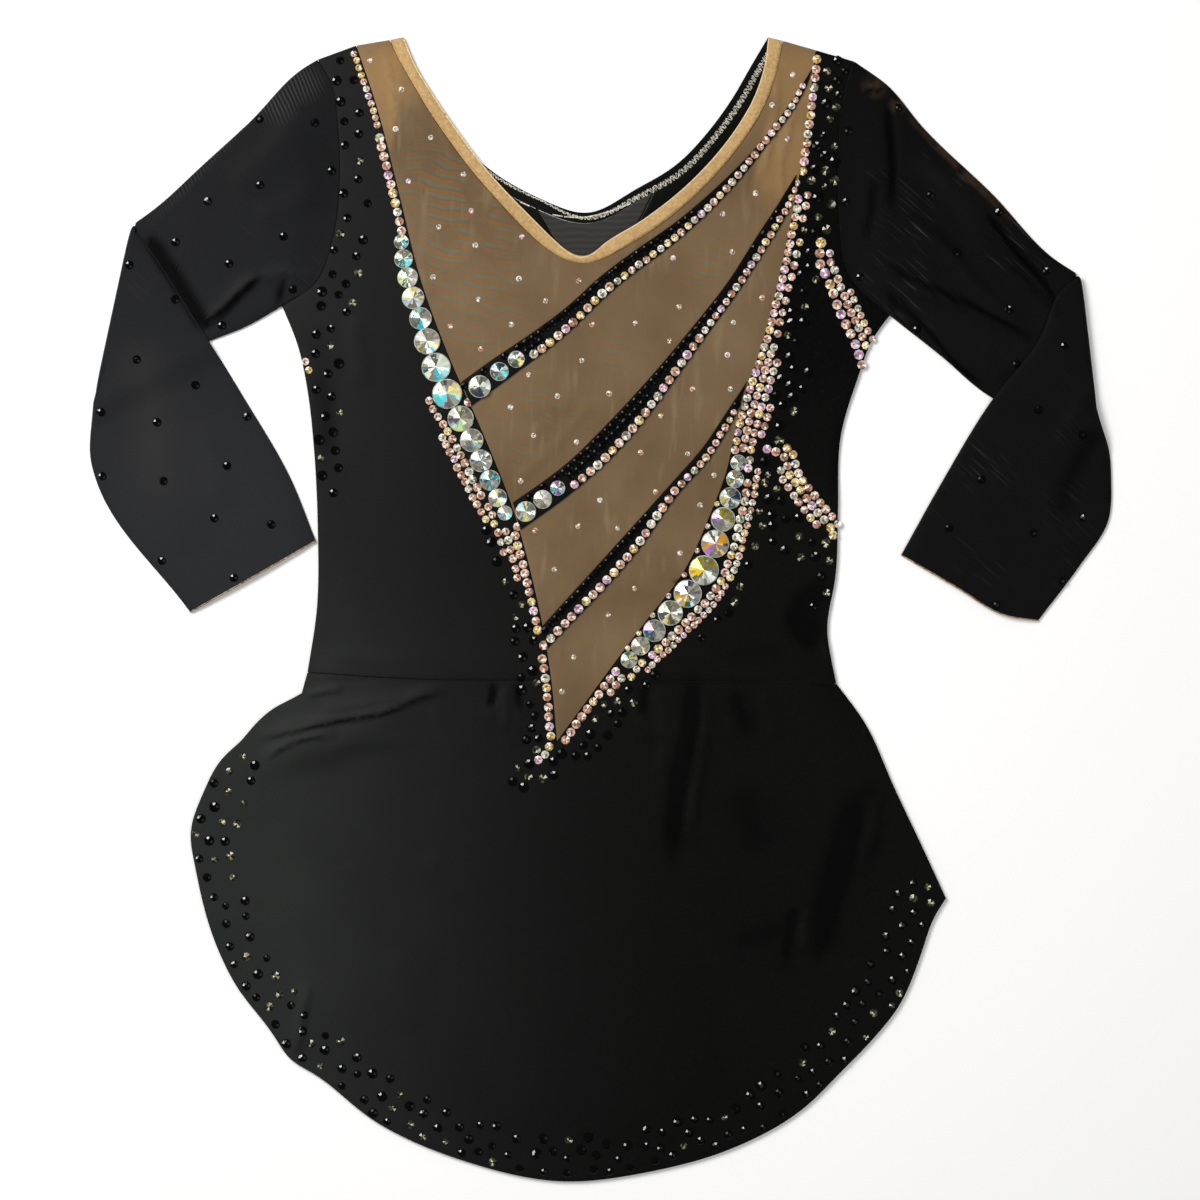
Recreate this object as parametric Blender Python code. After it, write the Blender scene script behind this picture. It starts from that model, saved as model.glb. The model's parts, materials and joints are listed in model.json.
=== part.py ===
"""A stretch competition leotard with a short round skirt, laid flat on its back with its front up.

It lies on z = 0, with +Y towards the shoulders, +X to the viewer's right and +Z up.
Tables and sizes are in millimetres, and the meshes are in metres.
Each sewn piece is a pattern piece: an outline of seam curves, filled with a mesh, laid on the
layers below it and given the thickness of cloth. The sleeves are flat tubes, folded at the elbow.
"""

import math

import bmesh
import bpy
import numpy as np
from mathutils import Vector
from mathutils.geometry import delaunay_2d_cdt

MM = 0.001

# Driving sizes
CLOTH = 1.1  # thickness of a cloth wall
SEAM = 0.3  # gap between pieces at a seam, and between layers
LAYER = CLOTH + SEAM  # height of one layer
SEAM_STEP = 8.0  # distance between points along a seam
FULLNESS = 1.4  # how far the front rises in the middle of the garment
FULLNESS_REACH = 60.0  # distance from the edge over which it rises
NECK_HEM = 6.0  # width of the turned hem of the back neck
SKIRT_BACK_SHORT = 1.0  # how far the back skirt stays inside the front one
BRIEF_RIM = 1.5  # the cloth over the brief stays level this far past its edge
BRIEF_FALL = 36.0  # and comes down over this width, or less near the garment's edge
BRIEF_FALL_LINE = 9.0  # a line of points in the fall, this far past the rim
STONE_RIM = 1.5  # height of a large stone's edge
STONE_SLOPE = 0.34  # rise of its point, for each millimetre of radius
STONE_LAP = 0.97  # neighbours in a row lap a little, so that the row is one body
STONE_SIDES = 12

# The heights at which the layers lie, from the surface up
BACK = 0.0
BRIEF_BACK = LAYER
BRIEF_FRONT = 2 * LAYER
FRONT = LAYER
FRONT_OVER_BRIEF = 3 * LAYER

# Seams and edges, as points (x, y) that a smooth curve runs through
SHOULDER = {
    "left_panel": [(-151, 293), (-130.5, 300.5)],
    "left_mesh": [(-130.5, 300.5), (-112.5, 303.5)],
    "left_binding": [(-112.5, 303.5), (-105, 305)],
    "right_binding": [(89, 305), (97, 303)],
    "right_mesh": [(97, 303), (114.5, 298)],
    "right_panel": [(114.5, 298), (135, 292)],
}
ARMHOLE = {
    "left": [(-151, 293), (-144, 280.5), (-140.5, 258), (-139.5, 231.5), (-143, 198.5), (-152, 174.5),
             (-170, 161.5)],
    "right": [(135, 292), (129, 271.5), (127, 245), (127, 213), (133, 177), (154, 156.5)],
}
SIDE = {
    "left": [(-170, 161.5), (-161.5, 140.5), (-156.5, 117), (-153, 85), (-151, 42.5), (-151.5, -0.5),
             (-156.5, -33.5)],
    "right": [(154, 156.5), (146, 146.5), (137.5, 124.5), (128, 93.5), (126.5, 53), (125, 15.5),
              (120.5, -8.5), (125.5, -39.5)],
}
WAIST = {
    "left": [(-156.5, -33.5), (-96.5, -37), (-26.5, -37.5)],
    "right": [(-0.5, -39), (63.5, -38.5), (125.5, -39.5)],
    "back": [(-156.5, -33.5), (-60, -37.5), (125.5, -39.5)],
}
V_SEAM = {
    "left": [(-130.5, 300.5), (-120, 269.5), (-107.5, 221), (-96, 175), (-80, 132), (-63.5, 95),
             (-48, 56.5), (-34.5, 7), (-26.5, -37.5), (-23.5, -70.5)],
    "right": [(114.5, 298), (107.5, 242), (99.5, 197), (88.5, 150), (73, 101), (66, 70), (59, 52),
              (45, 21), (25, -5), (-0.5, -39), (-23.5, -70.5)],
}
FRONT_NECK = {
    "seam": [(-112.5, 303.5), (-109.5, 296), (-103, 284.5), (-95.5, 271.7), (-87.4, 258.9), (-78.4, 246.1),
             (-68.8, 233.3), (-57.6, 220.5), (-45.9, 207.7), (-32.7, 194.9), (-24, 188.6), (-16, 185),
             (-7.5, 184), (0.5, 186.2), (7, 189.5), (16.5, 194.9), (26.6, 201.3), (43, 213.8), (57, 226.9),
             (68.3, 239.7), (78, 252.5), (85.8, 265.3), (91.3, 278), (94.9, 290.9), (97, 303)],
    "edge": [(-105, 305), (-99.1, 290.9), (-87.5, 271.7), (-74.5, 252.5), (-59.9, 233.3), (-48.2, 220.5),
             (-35.7, 207.7), (-22.6, 194.9), (-17.5, 190.6), (-12.3, 188.1), (-7.6, 188.2), (-4, 190),
             (1.1, 194.4), (12.3, 201.3), (22.4, 207.7), (32, 214.1), (46.6, 226.9), (59, 239.7),
             (69.3, 252.5), (77.8, 265.3), (83.6, 278.1), (87.3, 290.9), (89, 305)],
}
BACK_NECK = [(-105, 305), (-88, 265.5), (-58.5, 234), (-32, 219), (-8, 211), (19, 224.5), (39.5, 236.5),
             (56.5, 254), (70, 272.5), (80, 290), (89, 305)]
BACK_MESH = {"left": (-34, 213), "tip": (-3.5, 159), "right": (27, 221)}
SKIRT_SIDE = {
    "left": [(-156.5, -33.5), (-159.5, -44.5), (-175, -52), (-184, -60.5), (-192.5, -71)],
    "right": [(125.5, -39.5), (141, -60.5), (155.5, -93), (172.5, -129), (184, -154)],
}
HEM = [(-192.5, -71), (-202.5, -79), (-211.5, -96.5), (-219, -118), (-216, -139), (-205, -179.5),
       (-196.5, -197.5), (-174, -227.5), (-166, -240), (-153.5, -247), (-120.5, -273), (-71.5, -294.5),
       (-21.5, -305), (27.5, -299.5), (68.5, -288), (107, -267), (128, -246.5), (146, -228),
       (160, -210), (170.5, -184.5), (178.5, -162), (184, -154)]
BRIEF = {
    "waist": [(-144.5, -37), (-60, -38.5), (113.5, -40.5)],
    "leg_right": [(113.5, -40.5), (122, -60), (128, -84), (88, -130), (46, -196), (20, -262)],
    "crotch": [(20, -262), (-15, -266), (-50, -262)],
    "leg_left": [(-50, -262), (-76, -196), (-118, -130), (-158, -84), (-153, -60), (-144.5, -37)],
}

# The bands that cross the mesh, by their upper and lower edges, left end first
BANDS = {
    "band_upper": {
        "upper": [(-74.5, 121), (-59.5, 132), (-35, 148.5), (-16.5, 162.5), (-1.5, 176.5), (18.5, 191.5),
                  (39.5, 206), (59.5, 223), (76.5, 239.5), (90, 255), (101, 270), (113, 289)],
        "lower": [(-69, 108), (-47.5, 124), (-22, 143), (8.5, 171.5), (39.5, 195), (59.5, 213),
                  (76.5, 231.5), (90, 249), (101, 263), (110, 279)],
        "stones": [(-64.5, 118.5, 12), (-54, 126.5, 10), (-45, 133, 9)],
    },
    "band_middle": {
        "upper": [(-47, 57), (-32.5, 67), (-18.5, 77.5), (-0.5, 95), (49.5, 151.5), (70, 178),
                  (79, 192.5), (86.3, 204), (95, 217), (100, 225.5), (104.3, 232)],
        "lower": [(-43, 42), (-18.5, 59.5), (-0.5, 74.5), (59.5, 150), (75, 171.5), (90, 195),
                  (97.5, 207), (102.3, 217)],
        "stones": [(-40, 52, 11), (-31, 58.5, 10), (-23, 64.5, 8)],
    },
    "band_lower": {
        "upper": [(-31.5, -9), (21, 49), (43, 73.5), (54.5, 86.5), (64, 101), (78, 122)],
        "lower": [(-28.5, -21), (21, 32.5), (43, 63.5), (56.5, 78), (65.5, 91.5), (73, 105)],
        "stones": [],
    },
}

# The graded rows of large stones beside the V seams: where a row starts, and each stone's diameter
STONE_ROWS = {
    "stone_row_left": {
        "seam": "left", "start_y": 196.5, "side": -1,
        "diameters": [8, 10, 11, 12, 12, 14, 15.5, 16, 14, 12.5, 12, 11, 10, 8],
    },
    "stone_row_right": {
        "seam": "right", "start_y": 79, "side": 1,
        "diameters": [8.5, 9.5, 11.5, 13, 15, 16, 15, 13.5, 12, 10, 9],
    },
}

# Folds of the front: start, middle and end of the crest, height and half width
FOLDS = {
    "waist_left_below": [(-178, -76), (-134, -66), (-92, -52), 4.6, 8.0],
    "waist_left_above": [(-168, -55), (-134, -48), (-104, -43), 2.6, 5.0],
    "side_left_low": [(-187, -88), (-168, -80), (-130, -76), 2.6, 6.0],
    "gather_left": [(-57, -42), (-57.5, -52), (-58, -64), 1.6, 4.0],
    "gather_mid_left": [(-43, -44), (-43.5, -56), (-44, -72), 1.8, 4.0],
    "gather_mid_right": [(23, -42), (22.5, -55), (22, -72), 1.6, 4.0],
    "gather_long": [(47, -41), (44.5, -82), (40, -130), 3.6, 9.0],
    "gather_right": [(75, -42), (74, -56), (73, -74), 1.8, 5.0],
    "side_right_high": [(137, -92), (128, -136), (116, -186), 3.4, 11.0],
    "side_right_low": [(103, -164), (100, -178), (97, -194), 2.2, 6.0],
    "hem_left": [(-153, -190), (-158, -216), (-161, -238), 2.6, 8.0],
    "hem_left_long": [(-100, -150), (-108, -200), (-112, -250), 1.6, 16.0],
    "hem_middle": [(-8, -150), (-10, -210), (-12, -280), 1.4, 18.0],
    "hem_right_long": [(62, -170), (66, -220), (72, -268), 1.8, 14.0],
}

# The sleeves, folded back at the elbow so that the forearm lies on the upper arm
SLEEVES = {
    "sleeve_left": {
        "side": "left",
        "arm_top": [(-151, 293), (-158.5, 288.5), (-187, 260), (-211, 238), (-240.5, 211.5), (-250.5, 204.5)],
        "arm_low": [(-170, 161.5), (-189.5, 150.5), (-208.5, 143), (-270, 113.5)],
        "forearm_in": [(-250.5, 204.5), (-241, 193), (-218, 157.5), (-191, 114), (-165, 69), (-152, 36.5)],
        "forearm_out": [(-270, 113.5), (-271.5, 77), (-269.5, 70), (-219, -1.5)],
        "cuff": [(-152, 36.5), (-186, 17), (-219, -1.5)],
        "folds": [[(-167, 176), (-186, 160), (-204, 152), 2.2, 8.0],
                  [(-160, 262), (-178, 240), (-200, 224), 1.4, 12.0],
                  [(-240, 96), (-228, 62), (-214, 30), 1.4, 12.0]],
    },
    "sleeve_right": {
        "side": "right",
        "arm_top": [(135, 292), (152.5, 279.5), (171.5, 257), (208.5, 221.5), (242, 186.5), (256, 177.5)],
        "arm_low": [(154, 156.5), (180.5, 135.5), (209, 112.5), (265, 100)],
        "forearm_in": [(256, 177.5), (248, 173), (232.5, 142.5), (209, 112.5), (181.5, 67.5), (160, 29)],
        "forearm_out": [(265, 100), (270.5, 86), (272, 69), (270.5, 47.5), (255, 23), (233, -6)],
        "cuff": [(160, 29), (190, 11.5), (215, -3), (233, -6)],
        "folds": [[(152, 240), (172, 205), (198, 168), 3.0, 8.0],
                  [(146, 214), (164, 182), (182, 152), 2.6, 7.0],
                  [(176, 236), (200, 205), (224, 172), 2.4, 8.0],
                  [(246, 96), (236, 62), (222, 26), 1.8, 11.0]],
    },
}
SLEEVE_ACROSS = 9  # points across each wall of a sleeve
SLEEVE_ARM_ROWS = 10
SLEEVE_ROLL = [45, 90, 135]  # degrees round the elbow's fold
SLEEVE_FOREARM_ROWS = 10
SLEEVE_FULLNESS = 2.0
SLEEVE_SETTLE = 14.0  # past the upper arm the forearm comes down over this width

# Distance between points inside a piece
COARSE = 60.0
PANEL = 17.0
FINE = 15.0

# Colour, roughness
FINISHES = {
    "black_stretch": ((0.012, 0.013, 0.014), 0.75),
    "black_mesh": ((0.018, 0.018, 0.018), 0.85),
    "nude_mesh": ((0.2, 0.13, 0.08), 0.8),
    "tan_satin": ((0.62, 0.4, 0.2), 0.5),
    "silver_thread": ((0.5, 0.5, 0.48), 0.6),
    "crystal": ((0.75, 0.8, 0.85), 0.08),
}


def smooth(t):
    """0 to 1 with a soft start and end."""
    t = np.clip(t, 0.0, 1.0)
    return t * t * (3 - 2 * t)


def curve(points, step=SEAM_STEP):
    """Points about a step apart on a smooth curve through a table's points."""
    p = np.array(points, float)
    gaps = np.linalg.norm(np.diff(p, axis=0), axis=1)
    slopes = np.diff(p, axis=0) / gaps[:, None]
    tangents = np.vstack([slopes[:1], slopes[-1:]]) if len(p) == 2 else np.vstack([
        slopes[:1],
        (slopes[:-1] * gaps[1:, None] + slopes[1:] * gaps[:-1, None]) / (gaps[:-1] + gaps[1:])[:, None],
        slopes[-1:],
    ])
    out = []
    for a, b, m, n, gap in zip(p, p[1:], tangents, tangents[1:], gaps):
        parts = max(1, round(gap / step))
        for t in np.arange(parts) / parts:
            out.append(
                (2 * t**3 - 3 * t**2 + 1) * a + (t**3 - 2 * t**2 + t) * gap * m
                + (3 * t**2 - 2 * t**3) * b + (t**3 - t**2) * gap * n
            )
    return np.array(out + [p[-1]])


def joined(*curves):
    """Curves end to end, without their shared points."""
    out = [curves[0]]
    for c in curves[1:]:
        out.append(c[1:] if np.linalg.norm(c[0] - out[-1][-1]) < 0.01 else c)
    out = np.vstack(out)
    return out[:-1] if np.linalg.norm(out[0] - out[-1]) < 0.01 else out


def parted(line, at):
    """A curve in two, at its point that is nearest to a place."""
    i = int(np.linalg.norm(line - np.array(at), axis=1).argmin())
    return line[: i + 1], line[i:]


def across(line):
    """The direction to the left of a line at each of its points."""
    d = np.gradient(line, axis=0)
    d /= np.linalg.norm(d, axis=1)[:, None]
    return np.column_stack([-d[:, 1], d[:, 0]])


def shrunk(outline, by):
    """A closed outline moved inwards, so that neighbours which share a seam stand apart."""
    following = np.roll(outline, -1, axis=0)
    turn = (outline[:, 0] * following[:, 1] - outline[:, 1] * following[:, 0]).sum()
    p = outline if turn > 0 else outline[::-1]
    after = np.roll(p, -1, axis=0) - p
    after /= np.linalg.norm(after, axis=1)[:, None]
    inward = np.column_stack([-after[:, 1], after[:, 0]])
    before = np.roll(inward, 1, axis=0)
    share = np.maximum(1 + (inward * before).sum(axis=1), 0.05)
    return p + by * (inward + before) / share[:, None]


def nearest(points, line):
    """How far each point is from a line, and how far along the line the nearest place is, 0 to 1."""
    a, b = line[:-1], line[1:]
    d = b - a
    long = np.linalg.norm(d, axis=1)
    t = ((points[:, None] - a) * d).sum(axis=2) / np.maximum(long**2, 1e-9)
    t = np.clip(t, 0, 1)
    away = np.linalg.norm(points[:, None] - a - t[:, :, None] * d, axis=2)
    i = away.argmin(axis=1)
    before = np.concatenate([[0], np.cumsum(long)])
    rows = np.arange(len(points))
    return away[rows, i], (before[i] + t[rows, i] * long[i]) / before[-1]


def inside(points, outline):
    """Which points lie within a closed outline."""
    a, b = outline, np.roll(outline, -1, axis=0)
    x, y = points[:, :1], points[:, 1:]
    spans = (a[:, 1] > y) != (b[:, 1] > y)
    rise = np.where(b[:, 1] == a[:, 1], 1e-9, b[:, 1] - a[:, 1])
    left = x < (b[:, 0] - a[:, 0]) * (y - a[:, 1]) / rise + a[:, 0]
    return (spans & left).sum(axis=1) % 2 == 1


def depth(points, outline):
    """How far each point is within a closed outline, and negative outside it."""
    away = nearest(points, np.vstack([outline, outline[:1]]))[0]
    return np.where(inside(points, outline), away, -away)


def ridges(points, folds):
    """The rise of a table of folds at each point."""
    rise = np.zeros(len(points))
    for start, middle, end, height, width in folds:
        away, share = nearest(points, curve([start, middle, end]))
        rise += height * np.exp(-((away / width) ** 2)) * smooth(4 * share * (1 - share))
    return rise


def fold_points(folds):
    """Points on each fold's crest, flanks and feet, so that a mesh takes its shape."""
    out = [np.zeros((0, 2))]
    for start, middle, end, _, width in folds:
        crest = curve([start, middle, end], max(width, 7.0))
        side = across(crest)
        out += [crest + side * width * k for k in (-1.9, -0.9, 0, 0.9, 1.9)]
    return np.vstack(out)


def spaced(points, least):
    """Points without those that crowd an earlier one."""
    kept = []
    for p in points:
        if all(math.hypot(p[0] - q[0], p[1] - q[1]) >= least for q in kept):
            kept.append(p)
    return np.array(kept).reshape(-1, 2)


def fill(outline, step, extra):
    """A piece's points and triangles: its outline, the extra points, and a staggered grid between."""
    low, high = outline.min(axis=0), outline.max(axis=0)
    rows = np.arange(low[1] + step / 2, high[1], step * 0.87)
    grid = np.array([
        (x + step / 2 * (row % 2), y)
        for row, y in enumerate(rows) for x in np.arange(low[0], high[0], step)
    ]).reshape(-1, 2)
    extra = extra[depth(extra, outline) > 2.5] if len(extra) else extra
    extra = spaced(extra, 3.4)
    if len(grid):
        grid = grid[depth(grid, outline) > 0.5 * step]
    if len(extra) and len(grid):
        apart = np.linalg.norm(grid[:, None] - extra, axis=2).min(axis=1)
        grid = grid[apart > 0.62 * step]
    points = np.vstack([outline, extra, grid])
    edge = list(range(len(outline)))
    found = delaunay_2d_cdt([Vector(p) for p in points], [], [edge], 1, 1e-5)
    return np.array([tuple(v) for v in found[0]]), [tuple(f) for f in found[2]]


def body(name, points, faces, finish):
    """An object from points in millimetres, with its material."""
    mesh = bpy.data.meshes.new(name)
    mesh.from_pydata([tuple(float(x) * MM for x in p) for p in points], [], faces)
    solid = bmesh.new()
    solid.from_mesh(mesh)
    bmesh.ops.recalc_face_normals(solid, faces=solid.faces)
    bmesh.ops.triangulate(solid, faces=solid.faces)
    solid.to_mesh(mesh)
    solid.free()
    mesh.shade_smooth()
    mesh.set_sharp_from_angle(angle=math.radians(35))
    mesh.materials.append(material(finish))
    piece = bpy.data.objects.new(name, mesh)
    bpy.context.collection.objects.link(piece)
    return piece


def material(finish):
    """The material of a finish, made once."""
    made = bpy.data.materials.get(finish)
    if made is None:
        colour, roughness = FINISHES[finish]
        made = bpy.data.materials.new(finish)
        made.use_nodes = True
        shader = made.node_tree.nodes["Principled BSDF"]
        shader.inputs["Base Color"].default_value = (*colour, 1)
        shader.inputs["Roughness"].default_value = roughness
        shader.inputs["Metallic"].default_value = 0
    return made


def wall(name, outline, lower, finish, step=PANEL, extra=None, thick=None, gap=SEAM / 2):
    """A cloth wall: the outline filled at the height of its lower face, and again above it."""
    xy, faces = fill(shrunk(outline, gap), step, np.zeros((0, 2)) if extra is None else extra)
    z = lower(xy)
    top = z + (CLOTH if thick is None else thick(xy))
    n = len(xy)
    uses = {}
    for f in faces:
        for a, b in zip(f, f[1:] + f[:1]):
            uses.setdefault(frozenset((a, b)), []).append((a, b))
    rim = [(a, b, b + n, a + n) for (a, b), *more in uses.values() if not more]
    return body(
        name,
        np.vstack([np.column_stack([xy, z]), np.column_stack([xy, top])]),
        [f[::-1] for f in faces] + [tuple(i + n for i in f) for f in faces] + rim,
        finish,
    )


def level(height):
    return lambda xy: np.full(len(xy), height)


def brief_outline():
    return joined(*(curve(BRIEF[k]) for k in ("waist", "leg_right", "crotch", "leg_left")))


def skirt_outline(*top):
    return joined(
        *top, curve(SKIRT_SIDE["right"]), curve(HEM)[::-1], curve(SKIRT_SIDE["left"])[::-1]
    )


def garment_outline():
    """The body and skirt together, without the neck's cut."""
    return joined(
        curve(ARMHOLE["right"]), curve(SIDE["right"]), curve(SKIRT_SIDE["right"]), curve(HEM)[::-1],
        curve(SKIRT_SIDE["left"])[::-1], curve(SIDE["left"])[::-1], curve(ARMHOLE["left"])[::-1],
    )


def front_height(xy):
    """The height of the front cloth's lower face: over the brief, full in the middle, and folded."""
    past = np.maximum(-depth(xy, brief_outline()) - BRIEF_RIM, 0)
    within = np.maximum(depth(xy, garment_outline()), 0)
    room = np.clip(past + within, 1, BRIEF_FALL)
    over = (FRONT_OVER_BRIEF - FRONT) * smooth(1 - past / room)
    full = FULLNESS * smooth(within / FULLNESS_REACH)
    return FRONT + over + full + ridges(xy, FOLDS.values())


def brief_lines():
    """Points round the brief, where the cloth over it starts to come down."""
    rim = shrunk(brief_outline(), -BRIEF_RIM)
    return np.vstack([rim, shrunk(rim, -BRIEF_FALL_LINE)])


def make_back():
    neck = curve(BACK_NECK)
    hem = neck - across(neck) * NECK_HEM
    hem_left, rest = parted(hem, BACK_MESH["left"])
    hem_middle, hem_right = parted(rest, BACK_MESH["right"])
    tip = np.array([BACK_MESH["tip"]])
    shoulder_left = np.array([SHOULDER["left_panel"][0], SHOULDER["left_panel"][1], hem[0]])
    shoulder_right = np.array([hem[-1], SHOULDER["right_panel"][0], SHOULDER["right_panel"][1]])
    wall(
        "back_bodice",
        joined(
            shoulder_left, hem_left, tip, hem_right, shoulder_right, curve(ARMHOLE["right"]),
            curve(SIDE["right"]), curve(WAIST["back"])[::-1], curve(SIDE["left"])[::-1],
            curve(ARMHOLE["left"])[::-1],
        ),
        level(BACK), "black_stretch", COARSE,
    )
    wall("back_mesh_panel", joined(hem_middle, tip), level(BACK), "black_mesh", COARSE)
    wall("back_neck_hem", joined(neck, hem[::-1]), level(BACK), "silver_thread", COARSE)
    wall("brief_back", brief_outline(), level(BRIEF_BACK), "black_stretch", COARSE)
    wall("brief_front", brief_outline(), level(BRIEF_FRONT), "black_stretch", COARSE)
    wall(
        "skirt_back", skirt_outline(curve(WAIST["back"])), level(BACK), "black_stretch", COARSE,
        gap=SKIRT_BACK_SHORT,
    )


def make_front():
    v_left, v_left_low = parted(curve(V_SEAM["left"]), WAIST["left"][-1])
    v_right, v_right_low = parted(curve(V_SEAM["right"]), WAIST["right"][0])
    lines = np.vstack([brief_lines(), fold_points(FOLDS.values())])
    wall(
        "front_left_panel",
        joined(
            curve(SHOULDER["left_panel"]), v_left, curve(WAIST["left"])[::-1],
            curve(SIDE["left"])[::-1], curve(ARMHOLE["left"])[::-1],
        ),
        front_height, "black_stretch", extra=lines,
    )
    wall(
        "front_right_panel",
        joined(
            curve(SHOULDER["right_panel"]), curve(ARMHOLE["right"]), curve(SIDE["right"]),
            curve(WAIST["right"])[::-1], v_right[::-1],
        ),
        front_height, "black_stretch", extra=lines,
    )
    wall(
        "front_mesh_inset",
        joined(
            curve(SHOULDER["left_mesh"]), curve(FRONT_NECK["seam"]), curve(SHOULDER["right_mesh"]),
            v_right, v_right_low, v_left_low[::-1], v_left[::-1],
        ),
        front_height, "nude_mesh", FINE, lines,
    )
    wall(
        "front_neck_binding",
        joined(
            curve(FRONT_NECK["edge"]), curve(SHOULDER["right_binding"]),
            curve(FRONT_NECK["seam"])[::-1], curve(SHOULDER["left_binding"]),
        ),
        front_height, "tan_satin",
    )
    wall(
        "skirt_front",
        skirt_outline(curve(WAIST["left"]), v_left_low, v_right_low[::-1], curve(WAIST["right"])),
        front_height, "black_stretch", FINE, lines,
    )


def on_front(xy):
    return front_height(xy) + LAYER


def stone_rise(xy, stones):
    """The rise of large stones above their base: a low rim and a blunt point."""
    rise = np.zeros(len(xy))
    for x, y, diameter in stones:
        radius = diameter / 2
        away = np.linalg.norm(xy - (x, y), axis=1)
        point = STONE_RIM + STONE_SLOPE * np.maximum(radius - away, 0)
        rise = np.maximum(rise, np.where(away <= radius * 1.01, point, 0))
    return rise


def stone_points(stones, rings):
    """A stone's middle and rings, as shares of its radius."""
    out = []
    for x, y, diameter in stones:
        out.append((x, y))
        for share in rings:
            for k in range(STONE_SIDES):
                turn = 2 * math.pi * k / STONE_SIDES
                out.append((x + share * diameter / 2 * math.cos(turn), y + share * diameter / 2 * math.sin(turn)))
    return np.array(out).reshape(-1, 2)


def make_band(name, table):
    wall(
        name,
        joined(curve(table["upper"]), curve(table["lower"])[::-1]),
        on_front, "black_stretch",
        extra=stone_points(table["stones"], (0.96, 1.15)) if table["stones"] else None,
        thick=lambda xy: CLOTH + stone_rise(xy, table["stones"]),
    )


def row_stones(table):
    """The stones of a row, each beside the seam and touching the one before."""
    seam = curve(V_SEAM[table["seam"]], 0.5)
    sideways = across(seam) * table["side"]
    i = int(np.abs(seam[:, 1] - table["start_y"]).argmin())
    out = []
    for diameter in table["diameters"]:
        centre = seam[i] + sideways[i] * (diameter / 2 + 0.6)
        while out and np.linalg.norm(centre - out[-1][:2]) < STONE_LAP * (diameter + out[-1][2]) / 2:
            i += 1
            centre = seam[i] + sideways[i] * (diameter / 2 + 0.6)
        out.append((*centre, diameter))
    return out


def row_outline(stones):
    """The edge round a chain of round stones, up one side and down the other."""
    out = []
    for order in (stones, stones[::-1]):
        for k, (x, y, diameter) in enumerate(order):
            here, radius = np.array((x, y)), diameter / 2
            ahead = order[k + 1][:2] - here if k + 1 < len(order) else here - order[k - 1][:2]
            behind = here - order[k - 1][:2] if k else ahead
            first = math.atan2(-behind[1], -behind[0])
            last = math.atan2(ahead[1], ahead[0])
            if last < first:
                last += 2 * math.pi
            start = lap_angle(radius, np.linalg.norm(behind)) if k else math.pi / 2
            end = lap_angle(radius, np.linalg.norm(ahead)) if k + 1 < len(order) else math.pi / STONE_SIDES
            steps = max(2, round((last - end - first - start) / (2 * math.pi / STONE_SIDES)))
            for j in range(steps + 1):
                if j == steps and k + 1 < len(order):
                    continue
                turn = first + start + (last - end - first - start) * j / steps
                out.append(here + radius * np.array((math.cos(turn), math.sin(turn))))
    return np.array(out)


def lap_angle(radius, apart):
    """Half the angle that a stone's neighbour takes of its edge."""
    return math.acos(min(1.0, apart / (2 * radius))) if apart < 2 * radius else math.radians(14)


def make_stone_row(name, table):
    stones = row_stones(table)
    wall(
        name, row_outline(stones), on_front, "crystal", COARSE, stone_points(stones, ()),
        thick=lambda xy: np.maximum(stone_rise(xy, stones), STONE_RIM), gap=0,
    )


def evenly(line, shares):
    """The points of a line at shares of its length."""
    along = np.concatenate([[0], np.cumsum(np.linalg.norm(np.diff(line, axis=0), axis=1))])
    return np.column_stack([np.interp(shares * along[-1], along, line[:, k]) for k in (0, 1)])


def patch(start, end, low_v, high_v, u, v):
    """A place within four edge curves, u from start to end and v from one side to the other."""
    s, e = evenly(start, v), evenly(end, v)
    a, b = evenly(low_v, np.array([u]))[0], evenly(high_v, np.array([u]))[0]
    v = v[:, None]
    corners = (1 - u) * ((1 - v) * s[0] + v * s[-1]) + u * ((1 - v) * e[0] + v * e[-1])
    return (1 - u) * s + u * e + (1 - v) * a + v * b - corners


def ring(place, length, thick):
    """A row's points, outer then inner: each a place across the row and a height in the flat tube."""
    edge, bore = thick / 2, CLOTH + 0.5
    rows = []
    for inset, low, tip in ((edge, 0.0, 0.0), (bore, CLOTH, CLOTH)):
        v = np.linspace(inset / length, 1 - inset / length, SLEEVE_ACROSS)
        ends = np.array([tip / length, 1 - tip / length])
        rows.append((
            np.concatenate([v, ends[1:], v[::-1], ends[:1]]),
            np.concatenate([
                np.full(len(v), low), [thick / 2], np.full(len(v), thick - low), [thick / 2],
            ]),
        ))
    v, t = (np.concatenate([rows[0][k], rows[1][k]]) for k in (0, 1))
    order = np.argsort(v, kind="stable")
    xy = np.empty((len(v), 2))
    xy[order] = place(np.concatenate([[0], v[order], [1]]))[1:-1]
    return xy, t, v


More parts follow.
